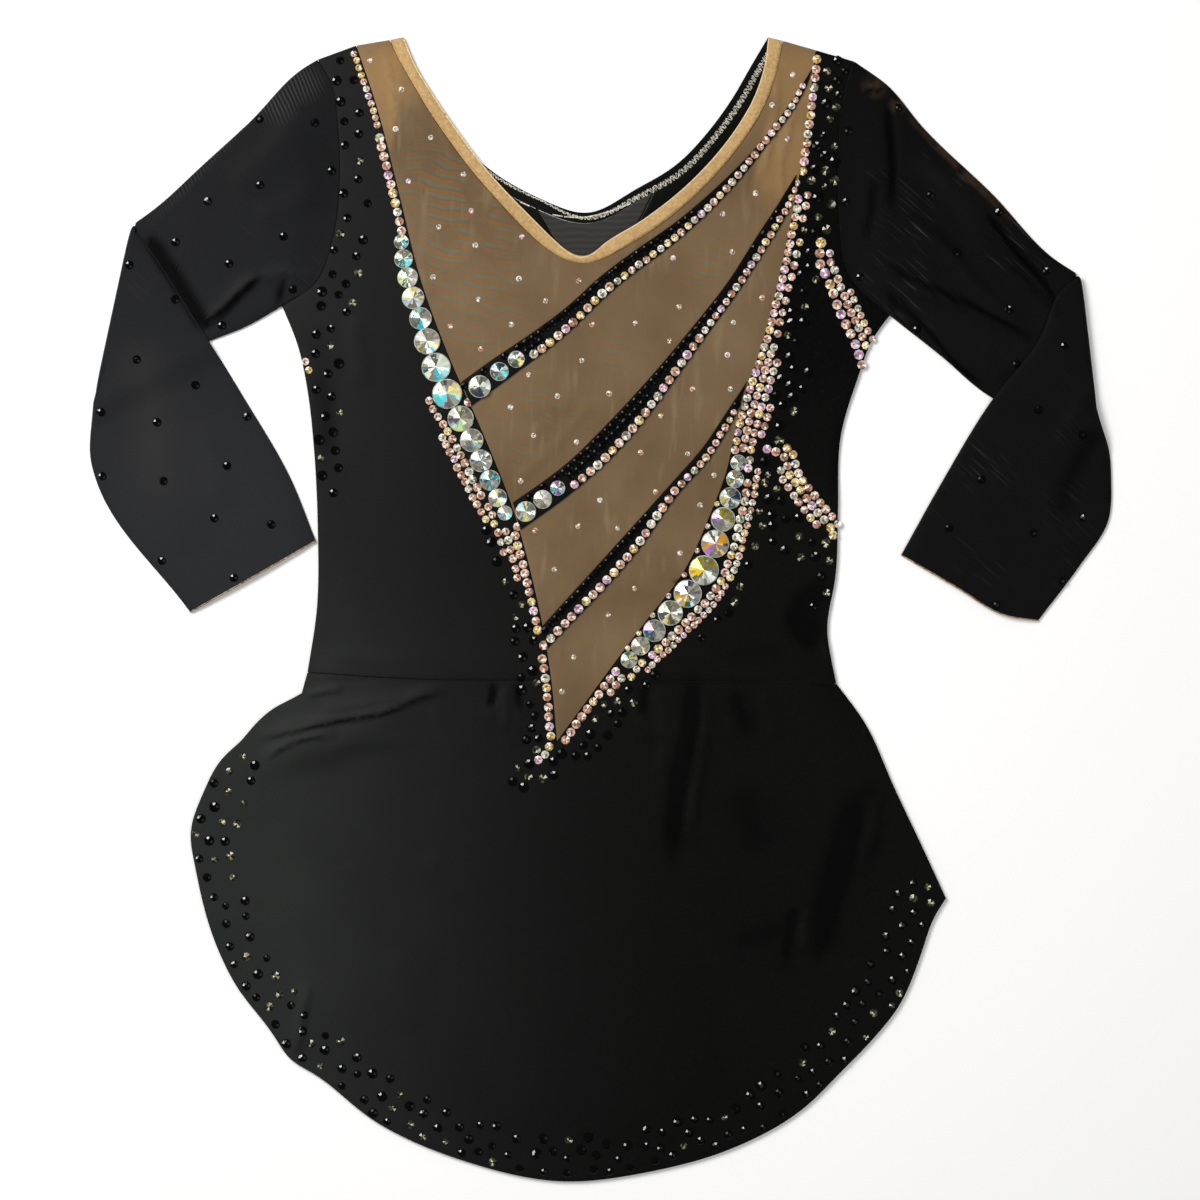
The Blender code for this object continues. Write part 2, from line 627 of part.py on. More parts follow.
def make_sleeve(name, table):
    """A flat tube from the armhole to the elbow's fold, round it, and back over itself to the cuff."""
    thick = 2 * CLOTH + SEAM
    radius = thick + SEAM / 2
    armhole = curve(ARMHOLE[table["side"]])
    away = -1 if table["side"] == "left" else 1
    armhole = armhole + across(armhole) * SEAM / 2 * away
    top, low = curve(table["arm_top"]), curve(table["arm_low"])
    inner, outer = curve(table["forearm_in"]), curve(table["forearm_out"])
    fold = np.array([top[-1], low[-1]])
    out = across(fold)[0] * away
    fold = fold - out * radius
    top[-1], inner[0] = fold[0], fold[0]
    low[-1], outer[0] = fold[1], fold[1]
    top[0], low[0] = armhole[0], armhole[-1]
    cuff = curve(table["cuff"])
    forearm = joined(inner, cuff, outer[::-1])
    fold_length = np.linalg.norm(fold[1] - fold[0])
    lower_edge = np.array([low[len(low) // 3], low[-1]])
    down = across(lower_edge)[0] * -away

    def upper_wall(t):
        return 0.5 + 0.5 * np.sign(np.round(t - thick / 2, 3))

    rows = []
    for u in np.linspace(0, 1, SLEEVE_ARM_ROWS):
        length = (1 - u) * np.linalg.norm(armhole[-1] - armhole[0]) + u * fold_length
        xy, t, v = ring(lambda v: patch(armhole, fold, top, low, u, v), length, thick)
        clear = smooth((-depth(xy, forearm) - 2) / 22) * smooth(u / 0.2)
        rise = (SLEEVE_FULLNESS * np.sin(math.pi * v) + ridges(xy, table["folds"])) * clear
        rows.append(np.column_stack([xy, t + rise * upper_wall(t)]))
    for turn in SLEEVE_ROLL:
        xy, t, v = ring(lambda v: evenly(fold, v), fold_length, thick)
        angle = math.radians(turn)
        xy = xy + out * ((radius - t) * math.sin(angle))[:, None]
        rows.append(np.column_stack([xy, radius - (radius - t) * math.cos(angle)]))
    for u in np.linspace(0, 1, SLEEVE_FOREARM_ROWS):
        length = (1 - u) * fold_length + u * np.linalg.norm(cuff[-1] - cuff[0])
        xy, t, v = ring(lambda v: patch(fold, cuff, inner, outer, u, v), length, thick)
        past = ((xy - lower_edge[1]) * down).sum(axis=1)
        settled = smooth((past - 1) / SLEEVE_SETTLE) * (2 * radius - thick)
        rise = (0.6 * SLEEVE_FULLNESS * np.sin(math.pi * v) + ridges(xy, table["folds"])) * smooth(u / 0.3)
        rows.append(np.column_stack([xy, 2 * radius - t - settled + rise * (1 - upper_wall(t))]))

    n = len(rows[0]) // 2
    faces = []
    for r in range(len(rows) - 1):
        for first, turned in ((0, False), (n, True)):
            for k in range(n):
                a, b = r * 2 * n + first + k, r * 2 * n + first + (k + 1) % n
                quad = (a, b, b + 2 * n, a + 2 * n)
                faces.append(quad[::-1] if turned else quad)
    for r, turned in ((0, True), (len(rows) - 1, False)):
        for k in range(n):
            a, b = r * 2 * n + k, r * 2 * n + (k + 1) % n
            quad = (a, b, b + n, a + n)
            faces.append(quad[::-1] if turned else quad)
    body(name, np.vstack(rows), faces, "black_mesh")


for old in list(bpy.data.objects):
    bpy.data.objects.remove(old)
make_back()
make_front()
for name, table in BANDS.items():
    make_band(name, table)
for name, table in STONE_ROWS.items():
    make_stone_row(name, table)
for name, table in SLEEVES.items():
    make_sleeve(name, table)
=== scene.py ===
import json
import math
import random

import bmesh
import bpy
import numpy as np
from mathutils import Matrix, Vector
from mathutils.bvhtree import BVHTree

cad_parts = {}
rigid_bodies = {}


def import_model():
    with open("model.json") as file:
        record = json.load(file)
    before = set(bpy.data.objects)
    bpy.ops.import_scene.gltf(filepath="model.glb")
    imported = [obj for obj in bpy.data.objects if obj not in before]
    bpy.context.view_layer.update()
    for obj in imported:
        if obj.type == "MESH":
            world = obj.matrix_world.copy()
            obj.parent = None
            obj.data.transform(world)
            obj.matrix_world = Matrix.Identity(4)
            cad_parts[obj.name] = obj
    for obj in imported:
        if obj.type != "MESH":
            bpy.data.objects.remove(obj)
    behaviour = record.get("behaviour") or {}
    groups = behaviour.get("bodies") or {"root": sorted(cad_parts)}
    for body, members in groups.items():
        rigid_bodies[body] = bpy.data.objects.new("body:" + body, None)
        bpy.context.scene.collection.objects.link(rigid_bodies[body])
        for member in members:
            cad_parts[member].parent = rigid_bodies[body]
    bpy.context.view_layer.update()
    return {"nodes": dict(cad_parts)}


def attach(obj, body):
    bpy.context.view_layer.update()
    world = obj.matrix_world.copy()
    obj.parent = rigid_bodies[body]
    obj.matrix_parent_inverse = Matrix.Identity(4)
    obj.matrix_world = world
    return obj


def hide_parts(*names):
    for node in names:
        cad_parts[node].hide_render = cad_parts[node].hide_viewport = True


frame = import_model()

# The leotard lies on z = 0 with its front up and its shoulders towards +Y
mm = 0.001
print("the packed model is loaded")


def deselectAll():
    for thing in bpy.context.view_layer.objects:
        thing.select_set(False)


def choose(thing):
    deselectAll()
    bpy.context.view_layer.objects.active = thing
    thing.select_set(True)


def added(name, data):
    thing = bpy.data.objects.new(name, data)
    bpy.context.scene.collection.objects.link(thing)
    return thing


deselectAll()

# Camera, floor and lights

studio = {
    "centre": (-0.0005, 0.005), "cameraHeight": 2.0, "frameWidth": 0.64, "sensor": 36, "nearest": 0.05,
    "floorSize": 6.0, "floorDrop": 0.0002, "world": 0.3,
    # place, size, power and colour of each lamp
    "lamps": {
        "softboxUpperLeft": ((-0.72, 0.62, 1.15), 0.8, 20, (1.0, 0.985, 0.96)),
        "softboxRight": ((0.9, -0.5, 2.0), 1.4, 13, (1, 1, 1)),
    },
}


def addLamp(name, place, size, power, colour):
    lamp = added(name, bpy.data.lights.new(name, "AREA"))
    lamp.location = place
    lamp.rotation_euler = (-Vector(place)).to_track_quat("-Z", "Y").to_euler()  # it points at the origin
    lamp.data.shape = "DISK"
    lamp.data.size = size
    lamp.data.energy = power
    lamp.data.color = colour


def makeStudio():
    camera = added("camera", bpy.data.cameras.new("camera"))
    camera.location = (*studio["centre"], studio["cameraHeight"])  # unturned, it looks straight down
    camera.data.sensor_width = studio["sensor"]
    camera.data.lens = studio["sensor"] * studio["cameraHeight"] / studio["frameWidth"]
    camera.data.clip_start = studio["nearest"]
    bpy.context.scene.camera = camera
    for name, lamp in studio["lamps"].items():
        addLamp(name, *lamp)
    world = bpy.data.worlds.new("studioWorld")
    world.use_nodes = True
    background = world.node_tree.nodes["Background"]
    background.inputs["Color"].default_value = (1, 1, 1, 1)
    background.inputs["Strength"].default_value = studio["world"]
    bpy.context.scene.world = world
    bpy.context.scene.view_settings.view_transform = "Standard"
    bpy.ops.mesh.primitive_plane_add(size=studio["floorSize"], location=(0, 0, -studio["floorDrop"]))
    floor = bpy.context.active_object
    floor.name = "studioFloor"
    floor.data.transform(floor.matrix_world)
    floor.location = (0, 0, 0)
    deselectAll()
    return floor


studioFloor = makeStudio()
print("the studio is set")

# Materials


def shade(code):
    # a colour such as 2b2d2e, as the shader wants it
    parts = [int(code[k:k + 2], 16) / 255 for k in (0, 2, 4)]
    return tuple(p / 12.92 if p < 0.04045 else ((p + 0.055) / 1.055) ** 2.4 for p in parts)


def plug(tree, socket, value):
    # a link from a value, or a plain number, vector or colour
    if isinstance(value, Value):
        tree.links.new(value.socket, socket)
    else:
        socket.default_value = value


class Value:
    # one socket, so that shader maths reads as an expression
    def __init__(self, tree, socket):
        self.tree, self.socket = tree, socket

    def maths(self, operation, *others):
        node = self.tree.nodes.new("ShaderNodeMath")
        node.operation = operation
        for k, value in enumerate((self, *others)):
            plug(self.tree, node.inputs[k], value)
        return Value(self.tree, node.outputs[0])

    def constant(self, number):
        node = self.tree.nodes.new("ShaderNodeValue")
        node.outputs[0].default_value = number
        return Value(self.tree, node.outputs[0])

    def __add__(self, other):
        return self.maths("ADD", other)

    __radd__ = __add__

    def __mul__(self, other):
        return self.maths("MULTIPLY", other)

    __rmul__ = __mul__

    def __sub__(self, other):
        return self.maths("SUBTRACT", other)

    def __rsub__(self, other):
        return self.constant(other).maths("SUBTRACT", self)

    def __pow__(self, other):
        return self.maths("POWER", other)

    def sine(self):
        return self.maths("SINE")

    def within(self, low, high):
        # 0 below low and 1 above high, with a straight rise between
        return ((self - low) * (1 / (high - low))).maths("MINIMUM", 1.0).maths("MAXIMUM", 0.0)


class Finish:
    # a material with its place on the cloth and the colour that its tints build up; sizes are in millimetres
    def __init__(self, name, **constants):
        self.material = bpy.data.materials.new(name)
        self.material.use_nodes = True
        self.tree = self.material.node_tree
        self.shader = self.tree.nodes["Principled BSDF"]
        for socket, value in constants.items():
            self.shader.inputs[socket.replace("_", " ")].default_value = value
        self.place = self.node("ShaderNodeTexCoord", output="Object")
        self.x, self.y = (self.node("ShaderNodeSeparateXYZ", sockets={0: self.place}, output=k) for k in "XY")
        self.colour = None

    def node(self, kind, settings=None, sockets=None, output=0):
        made = self.tree.nodes.new(kind)
        for key, value in (settings or {}).items():
            setattr(made, key, value)
        for key, value in (sockets or {}).items():
            plug(self.tree, made.inputs[key], value)
        return Value(self.tree, made.outputs[output])

    def noise(self, size, detail=2.0, rough=0.5):
        return self.node("ShaderNodeTexNoise", sockets={
            "Vector": self.place, "Scale": 1000 / size, "Detail": detail, "Roughness": rough})

    def stretched(self, turn, along, across, detail=2.0):
        # noise drawn out along a direction, in degrees
        turned = self.node("ShaderNodeMapping", {"vector_type": "POINT"}, {
            "Vector": self.place, "Rotation": (0, 0, -math.radians(turn))})
        scaled = self.node("ShaderNodeMapping", {"vector_type": "POINT"}, {
            "Vector": turned, "Scale": (1000 / along, 1000 / across, 1)})
        return self.node("ShaderNodeTexNoise", sockets={"Vector": scaled, "Scale": 1.0, "Detail": detail})

    def near(self, x, y, inner, outer):
        # 1 within the inner distance of a place, 0 beyond the outer one
        away = ((self.x - x * mm) ** 2 + (self.y - y * mm) ** 2) ** 0.5
        return away.within(outer * mm, inner * mm)

    def beyond(self, x, y, facing, soft):
        # 0 on one side of a straight line through a place, 1 on the side that it faces, in degrees
        turn = math.radians(facing)
        out = (self.x - x * mm) * math.cos(turn) + (self.y - y * mm) * math.sin(turn)
        return out.within(-soft * mm, soft * mm)

    def ripple(self, alongX, alongY, size, wander):
        # the angle of a wave: radians a metre along X and along Y, and how far noise of a size bends it
        return self.x * alongX + self.y * alongY + self.noise(size, 1) * wander

    def knit(self, pitch):
        # the loops of a knit, 0 to 1
        across = self.x * (2000 * math.pi / pitch)
        along = self.y * (2000 * math.pi / pitch)
        return ((across + along).sine() * (across - along).sine()) * 0.5 + 0.5

    def towardsLight(self):
        # the cloth is lit from the left, so its tone falls off to the right
        return self.x.within(0.07, -0.17) ** 2.1

    def mix(self, first, second, share):
        first, second = (value if isinstance(value, Value) else (*value, 1) for value in (first, second))
        return self.node("ShaderNodeMix", {"data_type": "RGBA"}, {0: share, 6: first, 7: second}, 2)

    def base(self, first, second, share):
        self.colour = self.mix(shade(first), shade(second), share)

    def tint(self, code, share):
        self.colour = self.mix(self.colour, shade(code), share)

    def foldTints(self, dark, light):
        # folds are paler on the side that faces the light and darker in their hollows
        fold = self.node("ShaderNodeAttribute", {"attribute_name": "foldTone"}, output="Fac")
        self.tint(light, fold.within(0.0, 1.0) * (self.towardsLight() * 0.75 + 0.25))
        self.tint(dark, (fold * -1.0).within(0.0, 1.0))

    def feed(self, socket, value):
        self.tree.links.new(value.socket, self.shader.inputs[socket])

    def bump(self, height, depth, strength=1.0):
        self.feed("Normal", self.node("ShaderNodeBump", sockets={
            "Height": height, "Distance": depth * mm, "Strength": strength}))

    def done(self):
        self.feed("Base Color", self.colour)
        return self.material


def stretchFinish():
    finish = Finish("blackStretch", Specular_IOR_Level=0.035)
    soft, fine = finish.noise(60, 3), finish.noise(2.2)
    # painted light and shade: the colour is paler to the left and darker to the right, and the painted light
    # is weaker on the bodice
    lit = finish.towardsLight() * (soft * 0.5 + 0.75)
    lit = lit * (1.0 - finish.y.within(-0.06, 0.03) * 0.34)  # the bodice is darker than the skirt
    finish.base("090908", "262827", lit)
    # painted shade over the upper right of the bodice, beside the right arm
    finish.tint("020202", finish.near(118, 170, 30, 130) * 0.85)
    finish.tint("1a1c1b", fine.within(0.55, 0.85) * 0.22)
    finish.foldTints("020202", "3b3d3c")
    finish.feed("Roughness", soft * 0.14 + 0.46)
    finish.bump(finish.knit(0.7) + fine * 0.8, 0.04, 0.5)
    return finish.done()


def blackSheerFinish():
    finish = Finish("blackSheer", Specular_IOR_Level=0.035, Roughness=0.55)
    weave = finish.knit(0.9)
    # painted light and shade: paler to the left, darker to the right and towards the top of the sleeves
    finish.base("100f0f", "202123", finish.towardsLight() * (finish.noise(40) * 0.3 + 0.85))
    finish.tint("020202", finish.y.within(0.14, 0.24) * 0.34)
    finish.tint("303134", finish.near(-215, 40, 40, 110) * 0.45)  # the left forearm
    # painted sheen: faint pale slanting streaks where the sheer cloth catches the light
    sheenStreaks = finish.stretched(-42, 22, 1.2, 1).within(0.58, 0.76)
    sheenPlaces = finish.noise(30, 1).within(0.48, 0.62) * (
        finish.near(190, 195, 10, 70) + finish.near(215, 50, 10, 60) * 0.6 + 0.12)
    finish.tint("4a4745", sheenStreaks * sheenPlaces * 0.6)
    # two layers make stripes at the left shoulder
    stripes = finish.ripple(2831.0, 1213.0, 14, 6.0).sine().within(-0.3, 0.9)
    striped = (finish.near(-172, 269, 4, 13) + finish.near(-159, 280, 4, 13)
               + finish.beyond(-209.5, 234.5, 137, 1.2) * finish.near(-205, 238, 20, 50) * 0.5)
    finish.tint("565552", stripes * striped * 0.36)
    # brown tones show through at the right shoulder and along the edge below it
    patches = finish.near(146, 279, 2, 9) + finish.near(157.5, 268, 2, 6)
    finish.tint("4a3b28", patches * finish.noise(4, 1).within(0.32, 0.6) * 0.4)
    edge = finish.beyond(197.5, 226.3, 45, 1.0) * finish.near(190, 237, 14, 46)
    finish.tint("40301f", edge * finish.noise(9, 1).within(0.3, 0.55) * 0.55)
    finish.foldTints("020202", "3a3836")
    finish.feed("Alpha", weave * 0.06 + 0.82)
    finish.bump(weave, 0.02, 0.3)
    return finish.done()


def greySheerFinish():
    finish = Finish("greySheer", Specular_IOR_Level=0.1, Roughness=0.55)
    weave = finish.knit(0.9)
    wave = finish.ripple(0.0, 1900.0, 16, 7.0).sine().within(-1.0, 1.0)
    finish.base("2b2a28", "3a3936", wave * 0.6 + weave * 0.3)
    finish.feed("Alpha", weave * 0.1 + 0.85)
    finish.bump(weave, 0.03, 0.35)
    return finish.done()


nudeMesh = {
    # spots of a tint: the place, the distances within which it is full and beyond which it ends, its share
    "spots": {
        "8c6b41": [(-112, 284, 4, 40, 0.12), (98, 268, 6, 50, 0.22), (90, 210, 4, 34, 0.14)],
        "503e2a": [(-88, 248, 6, 44, 0.4), (84, 234, 4, 30, 0.35)],
    },
    # where it is doubled: a place on the edge, which way the doubled part lies, its middle, reach and share
    "doubled": [(84.2, 242.8, -13, 98, 240, 30, 0.5), (96, 262, 24, 104, 282, 24, 0.4),
                (-109, 250, 176, -116, 276, 34, 0.5), (-96, 268, 128, -106, 284, 20, 0.35)],
    # where the ripples of two layers show, as the spots are given
    "rippled": [(-84, 205, 14, 60, 0.5), (-66, 160, 8, 34, 0.4), (66, 178, 6, 24, 0.4),
                (38, 122, 4, 26, 0.28), (-34, 100, 8, 34, 0.3), (4, 142, 4, 22, 0.26)],
}


def nudeSheerFinish():
    finish = Finish("nudeSheer", Specular_IOR_Level=0.12, Roughness=0.55)
    weave = finish.knit(0.9)
    finish.base("645037", "766146", finish.noise(46, 3).within(0.3, 0.7))
    for code, spots in nudeMesh["spots"].items():
        for *spot, share in spots:
            finish.tint(code, finish.near(*spot) * share)
    for x, y, facing, middleX, middleY, reach, share in nudeMesh["doubled"]:
        edge = finish.beyond(x, y, facing, 1.6) * finish.near(middleX, middleY, reach * 0.5, reach)
        finish.tint("9c794c", edge * share)
    drawn = finish.stretched(88, 34, 5.5).within(0.55, 0.8) * finish.noise(34, 1).within(0.4, 0.62)
    finish.tint("988868", drawn * 0.42)
    ripple = finish.ripple(260.0, 1200.0, 26, 13.0) + finish.noise(8, 1) * 3.0
    broken = finish.noise(10).within(0.4, 0.58)
    for *spot, share in nudeMesh["rippled"]:
        where = finish.near(*spot) * broken
        finish.tint("8c5c2c", (ripple.sine().within(-0.2, 0.8) * where) * share)
        finish.tint("5f6e60", ((ripple + 2.8).sine().within(-0.1, 0.8) * where) * share)
    finish.tint("544229", finish.noise(1.6).within(0.55, 0.85) * 0.16)
    finish.foldTints("4a3820", "b0946a")
    finish.feed("Alpha", weave * 0.1 + 0.86)
    finish.bump(weave + finish.noise(2.2) * 0.6, 0.03, 0.35)
    return finish.done()


def bindingFinish():
    finish = Finish("tanSatin", Roughness=0.48, Sheen_Weight=0.1, Specular_IOR_Level=0.4)
    grain = finish.noise(1.7, 3, 0.7)
    finish.base("ad8a54", "bd9a63", finish.noise(14, 3).within(0.3, 0.7))
    finish.tint("8d6c3e", grain.within(0.5, 0.3) * 0.5)
    finish.tint("d9ba86", grain.within(0.52, 0.72) * 0.55)
    finish.bump(finish.knit(0.8) * 0.6 + grain * 2.0, 0.16, 0.9)
    return finish.done()


def threadFinish(name, dark, light, specular=0.5):
    finish = Finish(name, Roughness=0.55, Specular_IOR_Level=specular)
    finish.base(dark, light, finish.noise(1.4).within(0.35, 0.65))
    finish.bump(finish.noise(0.5), 0.06, 0.6)
    return finish.done()


def gemFinish(name, metallic, roughness, glow, coat, flash, specular=0.5):
    finish = Finish(name, Metallic=metallic, Roughness=roughness, Coat_Weight=coat, Coat_Roughness=0.03,
                    Emission_Strength=glow, Specular_IOR_Level=specular)
    finish.colour = finish.node("ShaderNodeAttribute", {"attribute_name": "facetTint"}, output="Color")
    # painted glints: white flecks over the facets
    finish.tint("f7f4ee", finish.noise(1.1, 1).within(0.62, 0.8) * flash)
    # painted light: the stones glow a little in their own facet colours
    if glow:
        finish.feed("Emission Color", finish.colour)
    return finish.done()


def floorFinish():
    finish = Finish("palePaper", Roughness=0.9, Specular_IOR_Level=0.1)
    finish.colour = finish.mix((0.95, 0.95, 0.95), (0.97, 0.97, 0.97), finish.noise(400))
    return finish.done()


finishes = {
    "stretch": stretchFinish(),
    "sleeveMesh": blackSheerFinish(),
    "backMesh": greySheerFinish(),
    "nudeMesh": nudeSheerFinish(),
    "binding": bindingFinish(),
    "creamThread": threadFinish("creamThread", "9d9987", "efebda"),
    "blackThread": threadFinish("blackThread", "060606", "101111", 0.05),
    "bindingThread": threadFinish("bindingThread", "a38252", "cdae7c", 0.3),
    # the rolled inner edge of the binding, paler than the binding as a painted highlight
    "bindingRollHighlight": threadFinish("bindingRollHighlight", "cdae7c", "e2c99c", 0.3),
    "tanThread": threadFinish("tanThread", "5a4632", "b39672"),
    "rivoli": gemFinish("crystalRainbow", 0.15, 0.12, 0.16, 0.3, 0.12),
    "rose": gemFinish("crystalRose", 0.15, 0.15, 0.14, 0.3, 0.2),
    "jet": gemFinish("jetGlass", 0.0, 0.06, 0.0, 0.0, 0.0, 0.1),
}
studioFloor.data.materials.append(floorFinish())
print("the finishes are made")

# Curves and folds, in millimetres on the table


def softStep(t):
    t = np.clip(t, 0.0, 1.0)
    return t * t * (3 - 2 * t)


def smoothCurve(points, step):
    # points about a step apart on a smooth curve through a table's points
    p = np.array(points, float)
    gaps = np.linalg.norm(np.diff(p, axis=0), axis=1)
    slopes = np.diff(p, axis=0) / gaps[:, None]
    middle = (slopes[:-1] * gaps[1:, None] + slopes[1:] * gaps[:-1, None]) / (gaps[:-1] + gaps[1:])[:, None]
    tangents = np.vstack([slopes[:1], middle, slopes[-1:]])
    line = []
    for a, b, m, n, gap in zip(p, p[1:], tangents, tangents[1:], gaps):
        parts = max(1, round(gap / step))
        for t in np.arange(parts) / parts:
            line.append((2 * t**3 - 3 * t**2 + 1) * a + (t**3 - 2 * t**2 + t) * gap * m
                        + (3 * t**2 - 2 * t**3) * b + (t**3 - t**2) * gap * n)
    return np.array(line + [p[-1]])


def lengthsAlong(line):
    return np.concatenate([[0], np.cumsum(np.linalg.norm(np.diff(line, axis=0), axis=1))])


def leftOf(line):
    d = np.gradient(line, axis=0)
    d /= np.linalg.norm(d, axis=1)[:, None]
    return np.column_stack([-d[:, 1], d[:, 0]])


def fromLine(points, line):
    # how far each point is to the left of a line, and its share of the line's length
    a, d = line[:-1], np.diff(line, axis=0)
    long = np.linalg.norm(d, axis=1)
    rel = points[:, None] - a
    t = np.clip((rel * d).sum(axis=2) / long**2, 0, 1)
    away = np.linalg.norm(rel - t[:, :, None] * d, axis=2)
    i = away.argmin(axis=1)
    rows = np.arange(len(points))
    side = np.sign(d[i, 0] * rel[rows, i, 1] - d[i, 1] * rel[rows, i, 0])
    before = lengthsAlong(line)
    return away[rows, i] * np.where(side == 0, 1, side), (before[i] + t[rows, i] * long[i]) / before[-1]


def creaseRise(points, creases):
    # each crease: its line, its height, and its width to the left and to the right of the line
    rise = np.zeros(len(points))
    for line, height, left, right in creases:
        path = smoothCurve(line, 5)
        near = np.abs(points - path.mean(axis=0)).max(axis=1) < np.ptp(path, axis=0).max() + 40
        if near.any():
            s, share = fromLine(points[near], path)
            rise[near] += height * np.exp(-((s / np.where(s > 0, left, right)) ** 2)) * softStep(
                5 * share * (1 - share))
    return rise


foldLight = {"towards": (-0.75, 0.66), "step": 0.6, "lit": 0.9, "hollow": 0.7}


def foldTone(points, creases, shadows):
    # how pale (up to 1) or dark (down to -1) the folds make the cloth, lit from the upper left
    step = np.array(foldLight["towards"]) * foldLight["step"]
    lit = (creaseRise(points - step, creases) - creaseRise(points + step, creases)) / (2 * foldLight["step"])
    hollow = np.minimum(creaseRise(points, creases), 0)
    return np.clip(lit * foldLight["lit"] + hollow * foldLight["hollow"] - creaseRise(points, shadows), -1, 1)


# Cloth pieces that lie flat, each from the upper face of its solid

frontCreases = [
    # drag lines from the left waist to the side
    ([(-186, -69.5), (-170, -66), (-141.3, -59), (-113.6, -54), (-94.2, -46), (-78, -42)], 2.0, 5.0, 1.3),
    ([(-180, -81), (-169, -73), (-157.9, -68.5), (-138, -66.5)], 1.4, 3.6, 1.3),
    ([(-158, -46.5), (-148, -44), (-136, -42.5)], 0.9, 2.6, 1.2),
    ([(-152, -53.5), (-128, -50.5), (-104, -46)], 0.7, 3.6, 2.2),
    ([(-150, -76), (-120, -70), (-92, -72)], 0.5, 5.0, 4.0),
    ([(-92, -50), (-84, -64), (-72, -82)], 0.5, 4.0, 3.0),
    # gathers below the waist
    ([(-56.7, -38.5), (-56.4, -44), (-58.5, -53)], -1.5, 1.7, 2.1),
    ([(-43.5, -38.5), (-43.2, -46), (-42.5, -54)], -0.8, 2.0, 2.2),
    ([(-50, -39), (-50, -50), (-51, -66)], 0.6, 3.0, 3.0),
    ([(24, -40), (23.5, -48), (22, -58)], -0.7, 3.2, 2.8),
    ([(31, -40), (32, -54), (32, -72)], 0.5, 3.0, 4.0),
    ([(48.7, -37.5), (48.7, -57.7), (44.5, -77), (40.4, -99), (38.6, -124), (39.5, -134)], -2.2, 5.2, 3.8),
    ([(57, -40), (55, -70), (50, -104), (48, -128)], 0.8, 3.0, 6.0),
    ([(36, -42), (35, -66), (31, -92)], 0.5, 5.0, 3.0),
    ([(73, -42), (74, -52), (80, -68)], -0.8, 4.0, 5.0),
    ([(86, -42), (90, -56), (96, -70)], 0.5, 4.0, 4.0),
    # folds at the right side and along the hem
    ([(137, -94), (133, -116), (127.7, -138), (122, -160), (118.5, -178), (116.5, -190)], -2.0, 6.5, 7.5),
    ([(147, -94), (146, -110), (142, -134)], 1.1, 4.0, 6.0),
    ([(110, -158), (109, -172), (110, -184)], 1.0, 2.6, 3.2),
    ([(102.7, -158), (100, -172), (97.2, -189)], -1.2, 3.4, 2.4),
    ([(74, -92), (80, -112), (86, -134)], -0.5, 9.0, 9.0),
    ([(70, -176), (84, -174), (98, -178)], -0.4, 8.0, 8.0),
    ([(-155.5, -198), (-158.5, -216), (-163, -240)], 1.0, 2.2, 4.0),
    ([(-93, -128), (-84, -142), (-73, -156)], 0.5, 5.0, 8.0),
    ([(-112, -180), (-104, -200), (-98, -226)], 0.4, 7.0, 9.0),
    # the bodice
    ([(-132, 158), (-129, 140), (-126, 116)], 0.6, 5.0, 6.0),
    ([(-152, 128), (-146, 110), (-143, 78)], -0.4, 5.0, 6.0),
    ([(124, 11), (112, 5), (106, -4), (112, -13), (122, -16)], -1.9, 4.0, 5.0),
    ([(116, -12), (120, -20), (122, -28)], 0.9, 2.0, 2.0),
    ([(126, 2), (118, 2), (112, -1)], 0.3, 1.8, 1.8),
    ([(140, 116), (130, 88), (126, 58)], -0.6, 3.0, 5.0),
    ([(104, -26), (86, -24), (66, -28)], -0.4, 6.0, 6.0),
    ([(-146, -24), (-126, -26), (-100, -30)], 0.4, 5.0, 4.0),
]
insetCreases = [
    # the mesh is doubled along these lines near the shoulders, and slack over the chest
    ([(-117, 300), (-112, 284), (-110.5, 262), (-111, 240)], 0.5, 1.6, 1.6),
    ([(-112, 272), (-101, 262), (-88.5, 250)], 0.45, 0.9, 0.9),
    ([(-108, 278), (-98, 272), (-92, 262)], 0.35, 0.8, 0.8),
    ([(92, 300), (94, 276), (88, 240), (82, 222)], 0.5, 1.6, 2.4),
    ([(101, 262), (96, 236), (98, 214)], 0.5, 1.4, 2.0),
    ([(108, 286), (102, 262), (99, 240)], 0.35, 1.2, 1.4),
    ([(-84, 190), (-62, 176), (-38, 168)], 0.4, 5.0, 4.0),
    ([(-66, 100), (-48, 92), (-24, 96)], 0.3, 5.0, 4.0),
    ([(6, 60), (18, 76), (30, 96)], 0.3, 4.0, 5.0),
    ([(-52, 60), (-20, 92), (0, 116)], 0.3, 3.0, 3.0),
    ([(-26, 12), (-22, -10), (-22, -34)], 0.3, 1.5, 2.5),
]
